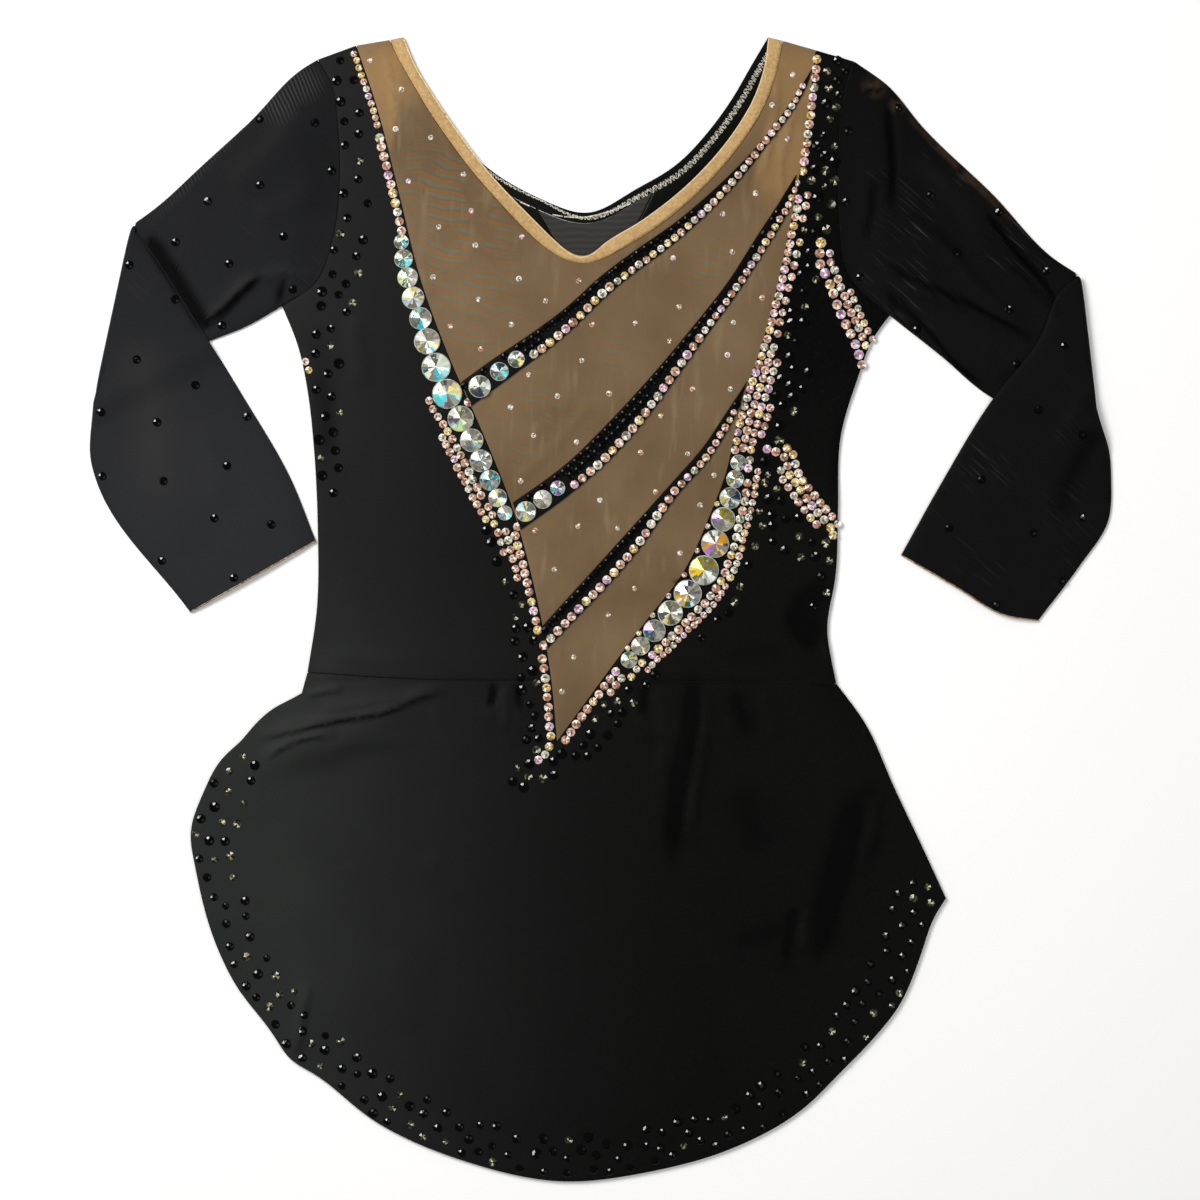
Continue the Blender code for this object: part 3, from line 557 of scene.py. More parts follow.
frontShadows = [
    # soft shade along the waist seam, under the arms and in the deep folds
    ([(-166, -36), (-60, -38.4), (-30, -38.8)], 0.35, 1.2, 0.7),
    ([(6, -39), (60, -38.5), (116, -37)], 0.45, 1.2, 0.7),
    ([(-155, 160), (-148, 120), (-150, 60)], 0.3, 7.0, 9.0),
    ([(-56.7, -38.5), (-56.4, -44), (-59, -53)], 0.9, 1.6, 2.2),
    ([(-43.5, -38.5), (-43.2, -46), (-42.5, -56)], 0.55, 2.2, 2.2),
    ([(24, -40), (23.5, -48), (22, -58)], 0.55, 3.2, 3.0),
    ([(48.2, -30), (48.7, -46), (47.5, -62), (43.5, -84), (41.5, -98)], 1.0, 4.6, 4.6),
    ([(45, -66), (42.5, -88), (39.6, -110), (38, -128), (38.8, -142)], 0.95, 3.6, 4.2),
    ([(70, -41), (74, -54), (82, -70)], 0.5, 6.0, 5.0),
    ([(149, -90), (142, -99), (136, -113), (130, -130)], 0.75, 3.4, 6.0),
    ([(139, -102), (133, -120), (127, -138), (121, -156), (117.5, -172)], 0.75, 6.0, 8.0),
    ([(129, -138), (121, -158), (117, -176), (113.5, -194)], 0.85, 3.6, 3.6),
    ([(148, -118), (144, -132), (138, -146)], 0.4, 4.0, 5.0),
    ([(106, -156), (101.5, -172), (97, -194)], 0.8, 2.2, 2.6),
    ([(72, -92), (80, -112), (86, -136)], 0.3, 9.0, 9.0),
    ([(66, -178), (82, -175), (96, -168), (106, -158)], 0.35, 5.0, 6.0),
    ([(88, -96), (96, -112), (104, -126)], 0.2, 6.0, 7.0),
    ([(124, 12), (112, 6), (105, -4), (110, -14), (123, -17)], 1.0, 5.0, 6.0),
    ([(122, 8), (113, 0), (114, -14)], 0.9, 5.0, 5.0),
    ([(141, 122), (130, 88), (126, 58)], 0.5, 3.0, 5.0),
]

plainCloth = {"finish": "stretch", "slot": "stretch", "wall": 0.9, "creases": [], "shadows": []}
frontCloth = {**plainCloth, "wall": 0.8, "creases": frontCreases, "shadows": frontShadows}
clothPieces = {
    "backBodice": {**plainCloth, "node": "back_bodice", "step": 7, "flat": (0.335, 0.355), "area": 0.083},
    "backMeshPanel": {**plainCloth, "node": "back_mesh_panel", "finish": "backMesh", "slot": "mesh",
                      "step": 3, "wall": 0.5, "flat": (0.066, 0.068), "area": 0.0016},
    "backNeckHem": {**plainCloth, "node": "back_neck_hem", "slot": "thread", "step": 3,
                    "flat": (0.010, 0.33), "area": 0.0019},
    "briefBack": {**plainCloth, "node": "brief_back", "step": 9, "flat": (0.295, 0.238), "area": 0.043},
    "briefFront": {**plainCloth, "node": "brief_front", "step": 9, "flat": (0.295, 0.238), "area": 0.043},
    "skirtBack": {**plainCloth, "node": "skirt_back", "step": 8, "flat": (0.412, 0.28), "area": 0.087},
    "skirtFront": {**frontCloth, "node": "skirt_front", "step": 3.2, "flat": (0.43, 0.30), "area": 0.092},
    "frontLeftPanel": {**frontCloth, "node": "front_left_panel", "step": 3.4,
                       "flat": (0.155, 0.35), "area": 0.026},
    "frontRightPanel": {**frontCloth, "node": "front_right_panel", "step": 3.4,
                        "flat": (0.165, 0.35), "area": 0.0195},
    "frontMeshInset": {**plainCloth, "node": "front_mesh_inset", "finish": "nudeMesh", "slot": "nude_mesh",
                       "step": 3.4, "wall": 0.5, "creases": insetCreases, "flat": (0.255, 0.385),
                       "area": 0.038},
    "frontNeckBinding": {**plainCloth, "node": "front_neck_binding", "finish": "binding", "slot": "binding",
                         "step": 2, "plump": 0.7, "flat": (0.010, 0.43), "area": 0.0027},
}
sheetMesh = {
    "merge": 0.02, "upward": 0.3,  # doubles are merged within a distance, and faces that look up are kept
    "corner": 0.88,  # a bend of the outline whose cosine is less is a corner, and stays
    "fine": 4, "fineEasing": 10, "coarseEasing": 3, "smoothing": 8, "rimDrop": 0.3, "deepest": -0.6,
    "shading": 50,
}


def refine(work, longest):
    # long edges are cut in two until none is left
    for _ in range(8):
        long = [e for e in work.edges if e.calc_length() > longest]
        if not long:
            break
        bmesh.ops.subdivide_edges(work, edges=long, cuts=1)
        bmesh.ops.triangulate(work, faces=[f for f in work.faces if len(f.verts) > 3])


def easeRim(work, rounds):
    # the outline's short straight steps become a smooth curve, and its corners stay
    rim = [v for v in work.verts if v.is_boundary]
    number = {v: k for k, v in enumerate(rim)}
    beside = [[number[e.other_vert(v)] for e in v.link_edges if e.is_boundary] for v in rim]
    loose = np.array([len(b) == 2 for b in beside])
    a = np.array([b[0] for b in beside])
    b = np.array([b[-1] for b in beside])
    co = np.array([v.co for v in rim])
    first, second = co[a] - co, co - co[b]
    cosine = (first[:, :2] * second[:, :2]).sum(axis=1) / np.maximum(
        np.linalg.norm(first[:, :2], axis=1) * np.linalg.norm(second[:, :2], axis=1), 1e-12)
    loose &= cosine > sheetMesh["corner"]
    for _ in range(rounds):
        co[loose] = 0.5 * co[loose] + 0.25 * (co[a] + co[b])[loose]
    for v, place in zip(rim, co):
        v.co = place


def upperFace(node, step, easing, smoothing, upright):
    # the upper face of a node's solid in triangles of about a step, eased along its rim and within it
    work = bmesh.new()
    work.from_mesh(frame["nodes"][node].data)
    bmesh.ops.remove_doubles(work, verts=work.verts, dist=sheetMesh["merge"] * mm)
    work.normal_update()
    under = [f for f in work.faces if f.normal.z < sheetMesh["upward"]]
    bmesh.ops.delete(work, geom=under, context="FACES")
    refine(work, step * mm)
    easeRim(work, easing)
    inner = [v for v in work.verts if not v.is_boundary]
    for _ in range(smoothing):
        bmesh.ops.smooth_vert(
            work, verts=inner, factor=0.5, use_axis_x=True, use_axis_y=True, use_axis_z=upright)
    return work


def finishedPiece(name, work, finish, tones=None):
    mesh = bpy.data.meshes.new(name)
    work.to_mesh(mesh)
    work.free()
    if tones is not None:
        mesh.attributes.new("foldTone", "FLOAT", "POINT").data.foreach_set("value", tones.astype(np.float32))
    mesh.materials.append(finishes[finish])
    return added(name, mesh)


def thickened(piece, wall, angle=sheetMesh["shading"]):
    # a wall below the surface, then smooth shading but for its rim
    choose(piece)
    skin = piece.modifiers.new("wall", "SOLIDIFY")
    skin.thickness = wall * mm
    skin.offset = -1
    skin.use_even_offset = False
    bpy.ops.object.modifier_apply(modifier="wall")
    for v in piece.data.vertices:
        v.co.z = max(v.co.z, 0.0)  # nothing sinks into the table
    bpy.ops.object.shade_smooth_by_angle(angle=math.radians(angle))
    deselectAll()


def attached(piece, node=None):
    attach(piece, "root")
    if node:
        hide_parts(node)


def layCloth(name, table):
    easing = sheetMesh["fineEasing"] if table["step"] < sheetMesh["fine"] else sheetMesh["coarseEasing"]
    work = upperFace(table["node"], table["step"], easing, sheetMesh["smoothing"], True)
    co = np.array([v.co for v in work.verts]) / mm
    rise = creaseRise(co[:, :2], table["creases"])
    for v, up in zip(work.verts, np.maximum(rise, sheetMesh["deepest"])):
        v.co.z += up * mm
        if v.is_boundary:
            v.co.z -= sheetMesh["rimDrop"] * mm
        elif "plump" in table:
            v.co.z += table["plump"] * mm
    work.normal_update()
    tones = foldTone(co[:, :2], table["creases"], table["shadows"])
    piece = finishedPiece(name, work, table["finish"], tones)
    thickened(piece, table["wall"])
    attached(piece, table["node"])
    return piece


cloth = {name: layCloth(name, table) for name, table in clothPieces.items()}
print("the flat cloth is laid")

# Sleeves: flat tubes from the armhole to the fold at the elbow, and back over themselves to the cuff

sleeveShape = {
    # thickness of one layer, the space between layers, and the shell's own wall
    "wall": 1.1, "gap": 0.3, "cloth": 0.5,
    # rise of the upper layer, its share on the forearm, and how square the tube's edges are
    "fullness": 2.0, "forearmShare": 0.6, "squareness": 8,
    # columns, how far they crowd towards the edges, rows, and the angles of the rows round the fold
    "across": 44, "crowding": 0.35, "armRows": 64, "forearmRows": 62, "roll": (15, 40, 65, 90, 115, 140, 165),
    # shares of the length over which folds begin, and where they end and the forearm settles on the table
    "armholeEase": 0.2, "foldEase": 0.3, "clearFrom": 2, "clearOver": 22, "settleFrom": 1, "settleOver": 14.0,
    "cuffLift": 0.36, "shading": 70,
}
armhole = {
    "left": [(-151, 293), (-144, 280.5), (-140.5, 258), (-139.5, 231.5), (-143, 198.5), (-152, 174.5),
             (-170, 161.5)],
    "right": [(135, 292), (129, 271.5), (127, 245), (127, 213), (133, 177), (154, 156.5)],
}
sleeves = {
    "sleeveLeft": {
        "node": "sleeve_left", "side": "left",
        "armTop": [(-151, 293), (-158.5, 288.5), (-187, 260), (-211, 238), (-240.5, 211.5), (-250.5, 204.5)],
        "armLow": [(-170, 161.5), (-189.5, 150.5), (-208.5, 143), (-270, 113.5)],
        "forearmIn": [(-250.5, 204.5), (-241, 193), (-218, 157.5), (-191, 114), (-165, 69), (-152, 36.5)],
        "forearmOut": [(-270, 113.5), (-271.5, 77), (-269.5, 70), (-219, -1.5)],
        "cuff": [(-152, 36.5), (-186, 17), (-219, -1.5)],
        "armFolds": [
            ([(-179, 179), (-192, 167.5), (-201.7, 157.5), (-214, 149.5)], 1.6, 1.6, 5.0),
            ([(-160, 262), (-178, 240), (-200, 224)], 0.7, 11.0, 8.0),
            ([(-150, 174), (-164, 178), (-184, 177)], 0.8, 3.0, 3.0),
            ([(-166, 178), (-170, 170), (-170, 162)], -0.7, 2.2, 2.2),
            ([(-146, 226), (-164, 216), (-186, 206)], 0.4, 6.0, 8.0),
        ],
        "forearmFolds": [
            ([(-240, 96), (-228, 62), (-214, 30)], 0.7, 9.0, 12.0),
            ([(-214, 100), (-206, 76), (-204, 52)], 0.5, 8.0, 6.0),
        ],
        "shadows": [
            ([(-242, 201), (-226.7, 178), (-216, 161), (-209, 147)], 4.5, 2.4, 3.4),
            ([(-180, 178), (-192, 168.4), (-201.7, 159), (-213.6, 150.7)], 2.2, 1.1, 1.3),
            ([(-172, 161), (-171, 168), (-168, 173)], 0.6, 1.6, 1.6),
        ],
        "sheen": [([(-246, 150), (-240, 110), (-232, 50)], 0.25, 12.0, 14.0)],
        "flat": (0.26, 0.33), "area": 0.053,
    },
    "sleeveRight": {
        "node": "sleeve_right", "side": "right",
        "armTop": [(135, 292), (152.5, 279.5), (171.5, 257), (208.5, 221.5), (242, 186.5), (256, 177.5)],
        "armLow": [(154, 156.5), (180.5, 135.5), (209, 112.5), (265, 100)],
        "forearmIn": [(256, 177.5), (248, 173), (232.5, 142.5), (209, 112.5), (181.5, 67.5), (160, 29)],
        "forearmOut": [(265, 100), (270.5, 86), (272, 69), (270.5, 47.5), (255, 23), (233, -6)],
        "cuff": [(160, 29), (190, 11.5), (215, -3), (233, -6)],
        "armFolds": [
            ([(152.5, 272), (155.7, 232), (154.3, 210)], -0.8, 3.0, 2.5),
            ([(145.5, 228), (143.8, 208), (140, 196)], -0.6, 2.5, 2.0),
            ([(157.5, 270), (182, 243), (211.5, 213), (230, 196)], 0.8, 1.2, 1.2),
            ([(204, 213), (223.8, 188.9), (234.3, 177.4), (245, 160)], -1.5, 1.4, 2.0),
            ([(166, 205), (182, 191.3), (206.6, 164.4), (226.2, 149.6), (238, 141)], 1.4, 4.0, 1.5),
            ([(153, 170), (172.2, 167.5), (191.9, 160.5), (211.5, 151), (234, 142)], 1.5, 3.4, 1.4),
            ([(155, 165), (167.3, 147.2), (182, 133.5), (199.2, 123.7), (211, 115)], 1.2, 3.2, 1.3),
            ([(150, 182), (164, 186), (182, 176)], 0.6, 3.0, 3.0),
            ([(176, 236), (196, 208), (214, 182)], 0.5, 4.0, 6.0),
        ],
        "forearmFolds": [
            ([(270, 100), (258, 83.4), (250.7, 68.7), (243, 44)], -0.9, 6.0, 5.5),
            ([(262, 120), (250, 98), (240, 80)], 0.7, 5.0, 5.0),
            ([(200, 70), (206, 44), (214, 20)], 0.5, 7.0, 6.0),
        ],
        "shadows": [
            ([(153, 171), (156, 163), (160, 157)], 1.0, 2.5, 2.5),
            ([(211, 120), (214, 123), (222, 132)], 0.6, 2.0, 2.5),
            ([(151, 169.5), (159, 165), (163, 160), (173, 150), (188, 132), (207, 118)], 1.2, 1.3, 1.6),
            ([(147, 188), (166.7, 175.5), (183.8, 167.9), (202.9, 158.4), (236, 141)], 1.4, 1.6, 1.9),
            ([(203, 214), (214, 201), (223.8, 188.9), (234.3, 177.4), (245, 158)], 1.2, 1.3, 1.7),
            ([(214, 188), (233.4, 168), (247, 154)], 0.6, 2.0, 2.0),
            ([(164, 213), (180, 199), (196, 185)], 0.4, 3.5, 3.0),
            ([(152, 274), (154.5, 250), (155.7, 230), (154.3, 208)], 0.9, 2.2, 2.2),
            ([(146, 234), (145.3, 222), (143.8, 208), (139, 194)], 0.6, 1.8, 2.2),
        ],
        "sheen": [([(157.5, 271), (182, 244), (211.5, 214.5), (226, 203)], 0.8, 0.5, 0.5),
                  ([(160, 244), (186, 224), (206, 200)], 0.25, 5.0, 6.0)],
        "flat": (0.26, 0.33), "area": 0.053,
    },
}


def evenly(line, shares):
    along = lengthsAlong(line)
    return np.column_stack([np.interp(shares * along[-1], along, line[:, k]) for k in (0, 1)])


def patch(start, end, low, high, u, v):
    # a place within four edge curves
    s, e = evenly(start, v), evenly(end, v)
    a, b = evenly(low, np.array([u]))[0], evenly(high, np.array([u]))[0]
    v = v[:, None]
    corners = (1 - u) * ((1 - v) * s[0] + v * s[-1]) + u * ((1 - v) * e[0] + v * e[-1])
    return (1 - u) * s + u * e + (1 - v) * a + v * b - corners


def within(points, outline):
    # how far each point is inside a closed outline, and negative outside it
    a, b = outline, np.roll(outline, -1, axis=0)
    x, y = points[:, :1], points[:, 1:]
    spans = (a[:, 1] > y) != (b[:, 1] > y)
    slope = np.where(b[:, 1] == a[:, 1], 1e-9, b[:, 1] - a[:, 1])
    odd = (spans & (x < (b[:, 0] - a[:, 0]) * (y - a[:, 1]) / slope + a[:, 0])).sum(axis=1) % 2 == 1
    away = np.abs(fromLine(points, np.vstack([outline, outline[:1]]))[0])
    return np.where(odd, away, -away)


cuffEdges = {}


def tubeMesh(rows, across):
    # a tube through closed rows of points, with its upper wall facing up
    work = bmesh.new()
    points = [[work.verts.new(Vector(p) * mm) for p in row] for row in rows]
    for first, second in zip(points, points[1:]):
        for k in range(2 * across):
            j = (k + 1) % (2 * across)
            work.faces.new((first[k], first[j], second[j], second[k]))
    work.normal_update()
    if sum(f.normal.z for f in list(work.faces)[:across]) < 0:
        bmesh.ops.reverse_faces(work, faces=work.faces)
    return work


def makeSleeve(name, table):
    shape = sleeveShape
    thick = 2 * shape["wall"] + shape["gap"]
    radius = thick + shape["gap"] / 2
    away = -1 if table["side"] == "left" else 1
    start = smoothCurve(armhole[table["side"]], 3)
    start = start + leftOf(start) * shape["gap"] / 2 * away
    top, low, inner, outer, cuff = (
        smoothCurve(table[edge], 3) for edge in ("armTop", "armLow", "forearmIn", "forearmOut", "cuff"))
    fold = np.array([top[-1], low[-1]])
    out = leftOf(fold)[0] * away
    fold = fold - out * radius
    top[0], low[0] = start[0], start[-1]
    top[-1], low[-1] = fold
    inner[0], outer[0] = fold
    forearm = np.vstack([inner[:-1], cuff[:-1], outer[::-1][:-1]])
    lowerEdge = np.array([low[len(low) // 3], low[-1]])
    down = leftOf(lowerEdge)[0] * -away
    # a row runs over the upper wall and back under the lower one
    n = shape["across"]
    even = np.linspace(0, 1, n + 1)
    crowded = (1 - np.cos(np.linspace(0, math.pi, n + 1))) / 2
    share = crowded * shape["crowding"] + even * (1 - shape["crowding"])
    v = np.concatenate([share, share[-2:0:-1]])
    upper = np.concatenate([np.ones(n + 1), np.zeros(n - 1)])
    bulge = np.sqrt(np.clip(1 - (2 * v - 1) ** shape["squareness"], 0, 1)) * thick / 2
    t = thick / 2 + np.where(upper == 1, bulge, -bulge)
    order = np.argsort(v, kind="stable")
    # painted shade, with the sheen lines as painted highlights
    shadows = table["shadows"] + [(line, -level, a, b) for line, level, a, b in table["sheen"]]

    def placed(curveOf):
        xy = np.empty((len(v), 2))
        xy[order] = curveOf(v[order])
        return xy

    rows, tones = [], []
    for u in np.linspace(0, 1, shape["armRows"]):
        xy = placed(lambda w: patch(start, fold, top, low, u, w))
        clear = softStep((-within(xy, forearm) - shape["clearFrom"]) / shape["clearOver"]) * softStep(
            u / shape["armholeEase"])
        rise = (shape["fullness"] * np.sin(math.pi * v) + creaseRise(xy, table["armFolds"])) * clear
        rows.append(np.column_stack([xy, t + rise * upper]))
        tones.append(np.where(upper == 1, foldTone(xy, table["armFolds"], shadows), 0))
    for turn in shape["roll"]:
        angle = math.radians(turn)
        xy = placed(lambda w: evenly(fold, w)) + out * ((radius - t) * math.sin(angle))[:, None]
        rows.append(np.column_stack([xy, radius - (radius - t) * math.cos(angle)]))
        tones.append(np.zeros(len(v)))
    for u in np.linspace(0, 1, shape["forearmRows"]):
        xy = placed(lambda w: patch(fold, cuff, inner, outer, u, w))
        past = ((xy - lowerEdge[1]) * down).sum(axis=1)
        settled = softStep((past - shape["settleFrom"]) / shape["settleOver"]) * (2 * radius - thick)
        full = shape["forearmShare"] * shape["fullness"] * np.sin(math.pi * v)
        rise = (full + creaseRise(xy, table["forearmFolds"])) * softStep(u / shape["foldEase"])
        rows.append(np.column_stack([xy, 2 * radius - t - settled + rise * (1 - upper)]))
        tones.append(np.where(upper == 0, foldTone(xy, table["forearmFolds"], shadows), 0))
    cuffEdges[name] = [(x * mm, y * mm, max(z, shape["cuffLift"]) * mm) for x, y, z in rows[-1]]
    piece = finishedPiece(name, tubeMesh(rows, n), "sleeveMesh", np.concatenate(tones))
    thickened(piece, shape["cloth"], shape["shading"])
    attached(piece, table["node"])
    return piece


for name, table in sleeves.items():
    cloth[name] = makeSleeve(name, table)
print("the sleeves are folded")

# Bands across the mesh, laid over it


def surfaceOf(names):
    points, faces = [], []
    for name in names:
        mesh = cloth[name].data
        base = len(points)
        points += [v.co.copy() for v in mesh.vertices]
        faces += [[base + k for k in p.vertices] for p in mesh.polygons]
    return BVHTree.FromPolygons(points, faces)


def landing(surface, x, y):
    # the highest place of a surface at (x, y) in millimetres, and which way it faces
    place, normal, _, _ = surface.ray_cast(Vector((x * mm, y * mm, 0.2)), Vector((0, 0, -1)))
    return (None, None) if place is None else (place.z, normal if normal.z > 0 else -normal)


bandPieces = {
    "bandUpper": {"node": "band_upper", "flat": (0.011, 0.25), "area": 0.0024},
    "bandMiddle": {"node": "band_middle", "flat": (0.013, 0.23), "area": 0.0028},
    "bandLower": {"node": "band_lower", "flat": (0.011, 0.18), "area": 0.0018},
}
bandShape = {"step": 2.2, "rise": 1.1, "rimDrop": 0.35, "wall": 0.7, "easing": 10, "smoothing": 6}
bodySurface = surfaceOf(
    ["frontLeftPanel", "frontRightPanel", "frontMeshInset", "skirtFront", "frontNeckBinding"])


def layBand(name, table):
    shape = bandShape
    work = upperFace(table["node"], shape["step"], shape["easing"], shape["smoothing"], False)
    for v in work.verts:
        height, _ = landing(bodySurface, v.co.x / mm, v.co.y / mm)
        if height is not None:
            v.co.z = height + (shape["rise"] - (shape["rimDrop"] if v.is_boundary else 0)) * mm
    work.normal_update()
    piece = finishedPiece(name, work, "stretch")
    thickened(piece, shape["wall"])
    attached(piece, table["node"])
    return piece


for name, table in bandPieces.items():
    cloth[name] = layBand(name, table)
print("the bands are laid")

# Stones: one of each kind is modelled, then set many times as a joined mesh


# faces that look up or down, the wall of the rim by its place, and where the rings of facets part
facetLimits = {"level": 0.9, "wallReach": 0.93, "wallTop": 0.9, "outerRing": 0.985, "slack": 0.06}


def stoneModel(name, sides, rim, steps, point):
    # a base cylinder, then rings (rise, size) drawn up from its top, and a pointed or flat middle
    limits = facetLimits
    deselectAll()
    bpy.ops.mesh.primitive_cylinder_add(vertices=sides, radius=1, depth=rim, location=(0, 0, rim / 2))
    stone = bpy.context.active_object
    stone.name = name
    bpy.ops.object.mode_set(mode="EDIT")
    bpy.ops.mesh.select_mode(type="FACE")
    bpy.ops.mesh.select_all(action="DESELECT")
    work = bmesh.from_edit_mesh(stone.data)
    for f in work.faces:
        f.select = f.normal.z > limits["level"]
    bmesh.update_edit_mesh(stone.data)
    top, size = rim, 1.0
    for rise, reach in steps:
        top += rise
        bpy.ops.mesh.extrude_region_move(TRANSFORM_OT_translate={"value": (0, 0, rise)})
        bpy.ops.transform.resize(value=(reach / size, reach / size, 1), center_override=(0, 0, top))
        size = reach
    bpy.ops.mesh.poke(offset=point)
    bpy.ops.object.mode_set(mode="OBJECT")
    stone.data.transform(stone.matrix_world)
    points = np.array([v.co for v in stone.data.vertices])
    faces = [tuple(p.vertices) for p in stone.data.polygons if p.normal.z > -limits["level"]]
    bpy.data.objects.remove(stone)
    centres = np.array([points[list(f)].mean(axis=0) for f in faces])
    reach = np.linalg.norm(centres[:, :2], axis=1)
    # ring 0 is the wall of the rim, and the others are counted inwards
    bounds = [(1 + steps[0][1]) / 2 * limits["outerRing"]]
    bounds += [(a + b) / 2 for (_, a), (_, b) in zip(steps, steps[1:])]
    walls = (reach > limits["wallReach"]) & (centres[:, 2] < rim * limits["wallTop"])
    rings = [0 if wall else 1 + sum(r < b - limits["slack"] for b in bounds) for wall, r in zip(walls, reach)]
    turns = np.arctan2(centres[:, 1], centres[:, 0])
    return {"points": points, "faces": faces, "rings": rings, "turns": turns}


stoneCuts = {
    # sides, height of the rim, rings drawn up from it (rise, size), and how far the middle is drawn out
    "rivoli": (24, 0.16, [(0.05, 0.93), (0.14, 0.56)], 0.17),  # a ring of kites and long pointed wedges
    "chaton": (8, 0.18, [(0.30, 0.60)], 0.02),
    "jet": (8, 0.16, [(0.16, 0.80), (0.17, 0.36)], 0.01),
    "hole": (8, 0.10, [(0.30, 0.62)], -0.35),  # the grommet of a sew hole
}
stoneModels = {kind: stoneModel(kind + "Model", *cut) for kind, cut in stoneCuts.items()}

# Colours of the wedges of a large stone, with the light and dark of its reflections painted in: mostly plain
# glass, some white as painted reflection, a few bright
plainGlass = ["6c6a5c", "84816f", "5a5a4e", "77766a", "939183", "4e4e48", "676b6a", "7c7668"]
whiteReflections = ["e6ede4", "c9d0c4", "eeeadb", "b3bbb1"]
brightGlass = {
    "teal": ["38b6c6", "57d6dc", "15777e", "0b5560", "b9cf92", "d6c98a", "236a5c", "93aecb"],
    "gold": ["b8940f", "dcb92c", "c9b86a", "7d7214", "162a4c", "115a57", "a566c4", "cf9522"],
    "mixed": ["338a99", "c8be48", "1d3049", "9258ae", "50b3ba", "1a5854", "c6bd84"],
}
# Rim and middle colours of a small stone, with how often each comes
roseKinds = [
    (6, ["dcc0ab", "d0ae98", "e8d3c2", "c39c86", "e0bfb2", "d9b49a"],
     ["70412f", "9a6048", "bd8468", "efd6c6", "a8715c", "834f3c"]),
    (2, ["dcc38f", "e6d5a4", "c9a96c"], ["7c5c22", "a98232", "d8b860", "efe0ae"]),
    (2, ["dedccb", "efeee2", "c2c0ad", "d9d2c4"], ["5d5846", "857e66", "d6d3c0", "a39274"]),
    (1, ["dfc4d2", "e8d3dc", "cbaec2", "e3bec2"], ["83587a", "b0809f", "e6cadc", "a86878"]),
]
smokyGlass = ["161613", "22221c", "35352b", "10100e", "55543f", "2a2923"]

random.seed(1310)
placedStones = []
stoneFinish = {
    "stoneRowLeft": "rivoli", "stoneRowRight": "rivoli", "bandLargeStones": "rivoli",
    "roseBandStones": "rose", "roseEdgeStones": "rose", "meshStones": "rose",
    "jetStones": "jet", "smokyStones": "jet", "sleeveStones": "jet",
}
stoneSets = {name: {"points": [], "faces": [], "tints": [], "count": 0} for name in stoneFinish}
setting = {"sunk": 0.08, "steepest": 0.93}  # a stone sinks into the cloth, and stands level past a slope


def varied(colour, low, high):
    level = random.uniform(low, high)
    return tuple(min(1.0, c * level) for c in colour)


def glints(angle, flash, width=0.2):
    # whether a facet lies towards a flash of light
    return abs(math.sin((angle - flash) / 2)) < width


def roseTints(kind=None):
    kinds = [k for k in range(len(roseKinds)) for _ in range(roseKinds[k][0])]
    _, rims, middles = roseKinds[random.choice(kinds) if kind is None else kind]
    rim, flash = shade(random.choice(rims)), random.uniform(-math.pi, math.pi)

    def tint(ring, angle):
        if ring == 0:
            return varied(rim, 0.2, 0.35)
        # painted glint: a facet towards the flash is near white
        if glints(angle, flash):
            return shade("fbf3e8")
        if ring == 1:
            # painted reflection: a few of the outer facets are dark, as in a cut stone
            return varied(rim, 0.2, 0.4) if random.random() < 0.24 else varied(rim, 0.6, 1.1)
        return varied(shade(random.choice(middles)), 0.75, 1.25)
    return tint


def jetTints(bright=0.6, glow="b9bcbe"):
    # one slanting facet of most stones gets a painted glint, on the side towards the light
    flash = random.uniform(1.6, 3.0) if random.random() < bright else None

    def tint(ring, angle):
        if ring == 2 and flash is not None and glints(angle, flash):
            return shade(glow)
        return shade("020203") if ring else shade("040405")
    return tint


def smokyTints():
    flashes = [random.uniform(-math.pi, math.pi) for _ in range(3)]

    def tint(ring, angle):
        if ring == 0:
            return shade("0c0c0a")
        if any(glints(angle, flash, 0.16) for flash in flashes[:1 + ring]):
            return shade(random.choice(["a5a284", "8a866a", "d9d6c0"]))
        return shade(random.choice(smokyGlass))
    return tint


def rivoliTints(palette):
    # wedges of uneven width, each of one colour, with the kites round them a little turned
    cuts = sorted(random.sample(range(24), random.randint(12, 16)))
    bright = random.sample(brightGlass[palette], 3)
    colours = []
    for _ in cuts:
        draw = random.random()
        colours.append(random.choice(plainGlass if draw < 0.56 else whiteReflections if draw < 0.72 else bright))
    turned = random.choice([-1, 1, 2])

    def tint(ring, angle):
        slot = int((angle + math.pi) / (2 * math.pi) * 23.99)
        if ring == 0:
            return shade("5f5e54")
        # the kites are pale glass, brighter or darker as painted reflection
        if ring == 1:
            return varied(shade("bcbfb4"), 0.35, 1.05)
        if ring == 2:
            slot = (slot + turned) % 24
        sector = sum(slot >= c for c in cuts) % len(cuts)
        return varied(shade(colours[sector]), 0.6 if ring == 2 else 0.85, 1.15)
    return tint


def turnedModel(model, size, tall, spin, normal):
    tilt = np.array(Vector((0, 0, 1)).rotation_difference(normal).to_matrix())
    c, s = math.cos(spin), math.sin(spin)
    spun = model["points"] @ np.array([[c, s, 0], [-s, c, 0], [0, 0, 1]])
    return (spun * (size, size, size * tall)) @ tilt.T


def addStone(into, shape, place, normal, size, tints, tall=1.0, spin=0.0):
    # place in metres, size in millimetres
    model, batch = stoneModels[shape], stoneSets[into]
    batch["points"].append(turnedModel(model, size, tall, spin, normal) * mm + np.array(place))
    batch["faces"] += [tuple(batch["count"] + k for k in f) for f in model["faces"]]
    batch["tints"] += [tints(ring, (angle + spin + math.pi) % (2 * math.pi) - math.pi)
                       for ring, angle in zip(model["rings"], model["turns"])]
    batch["count"] += len(model["points"])


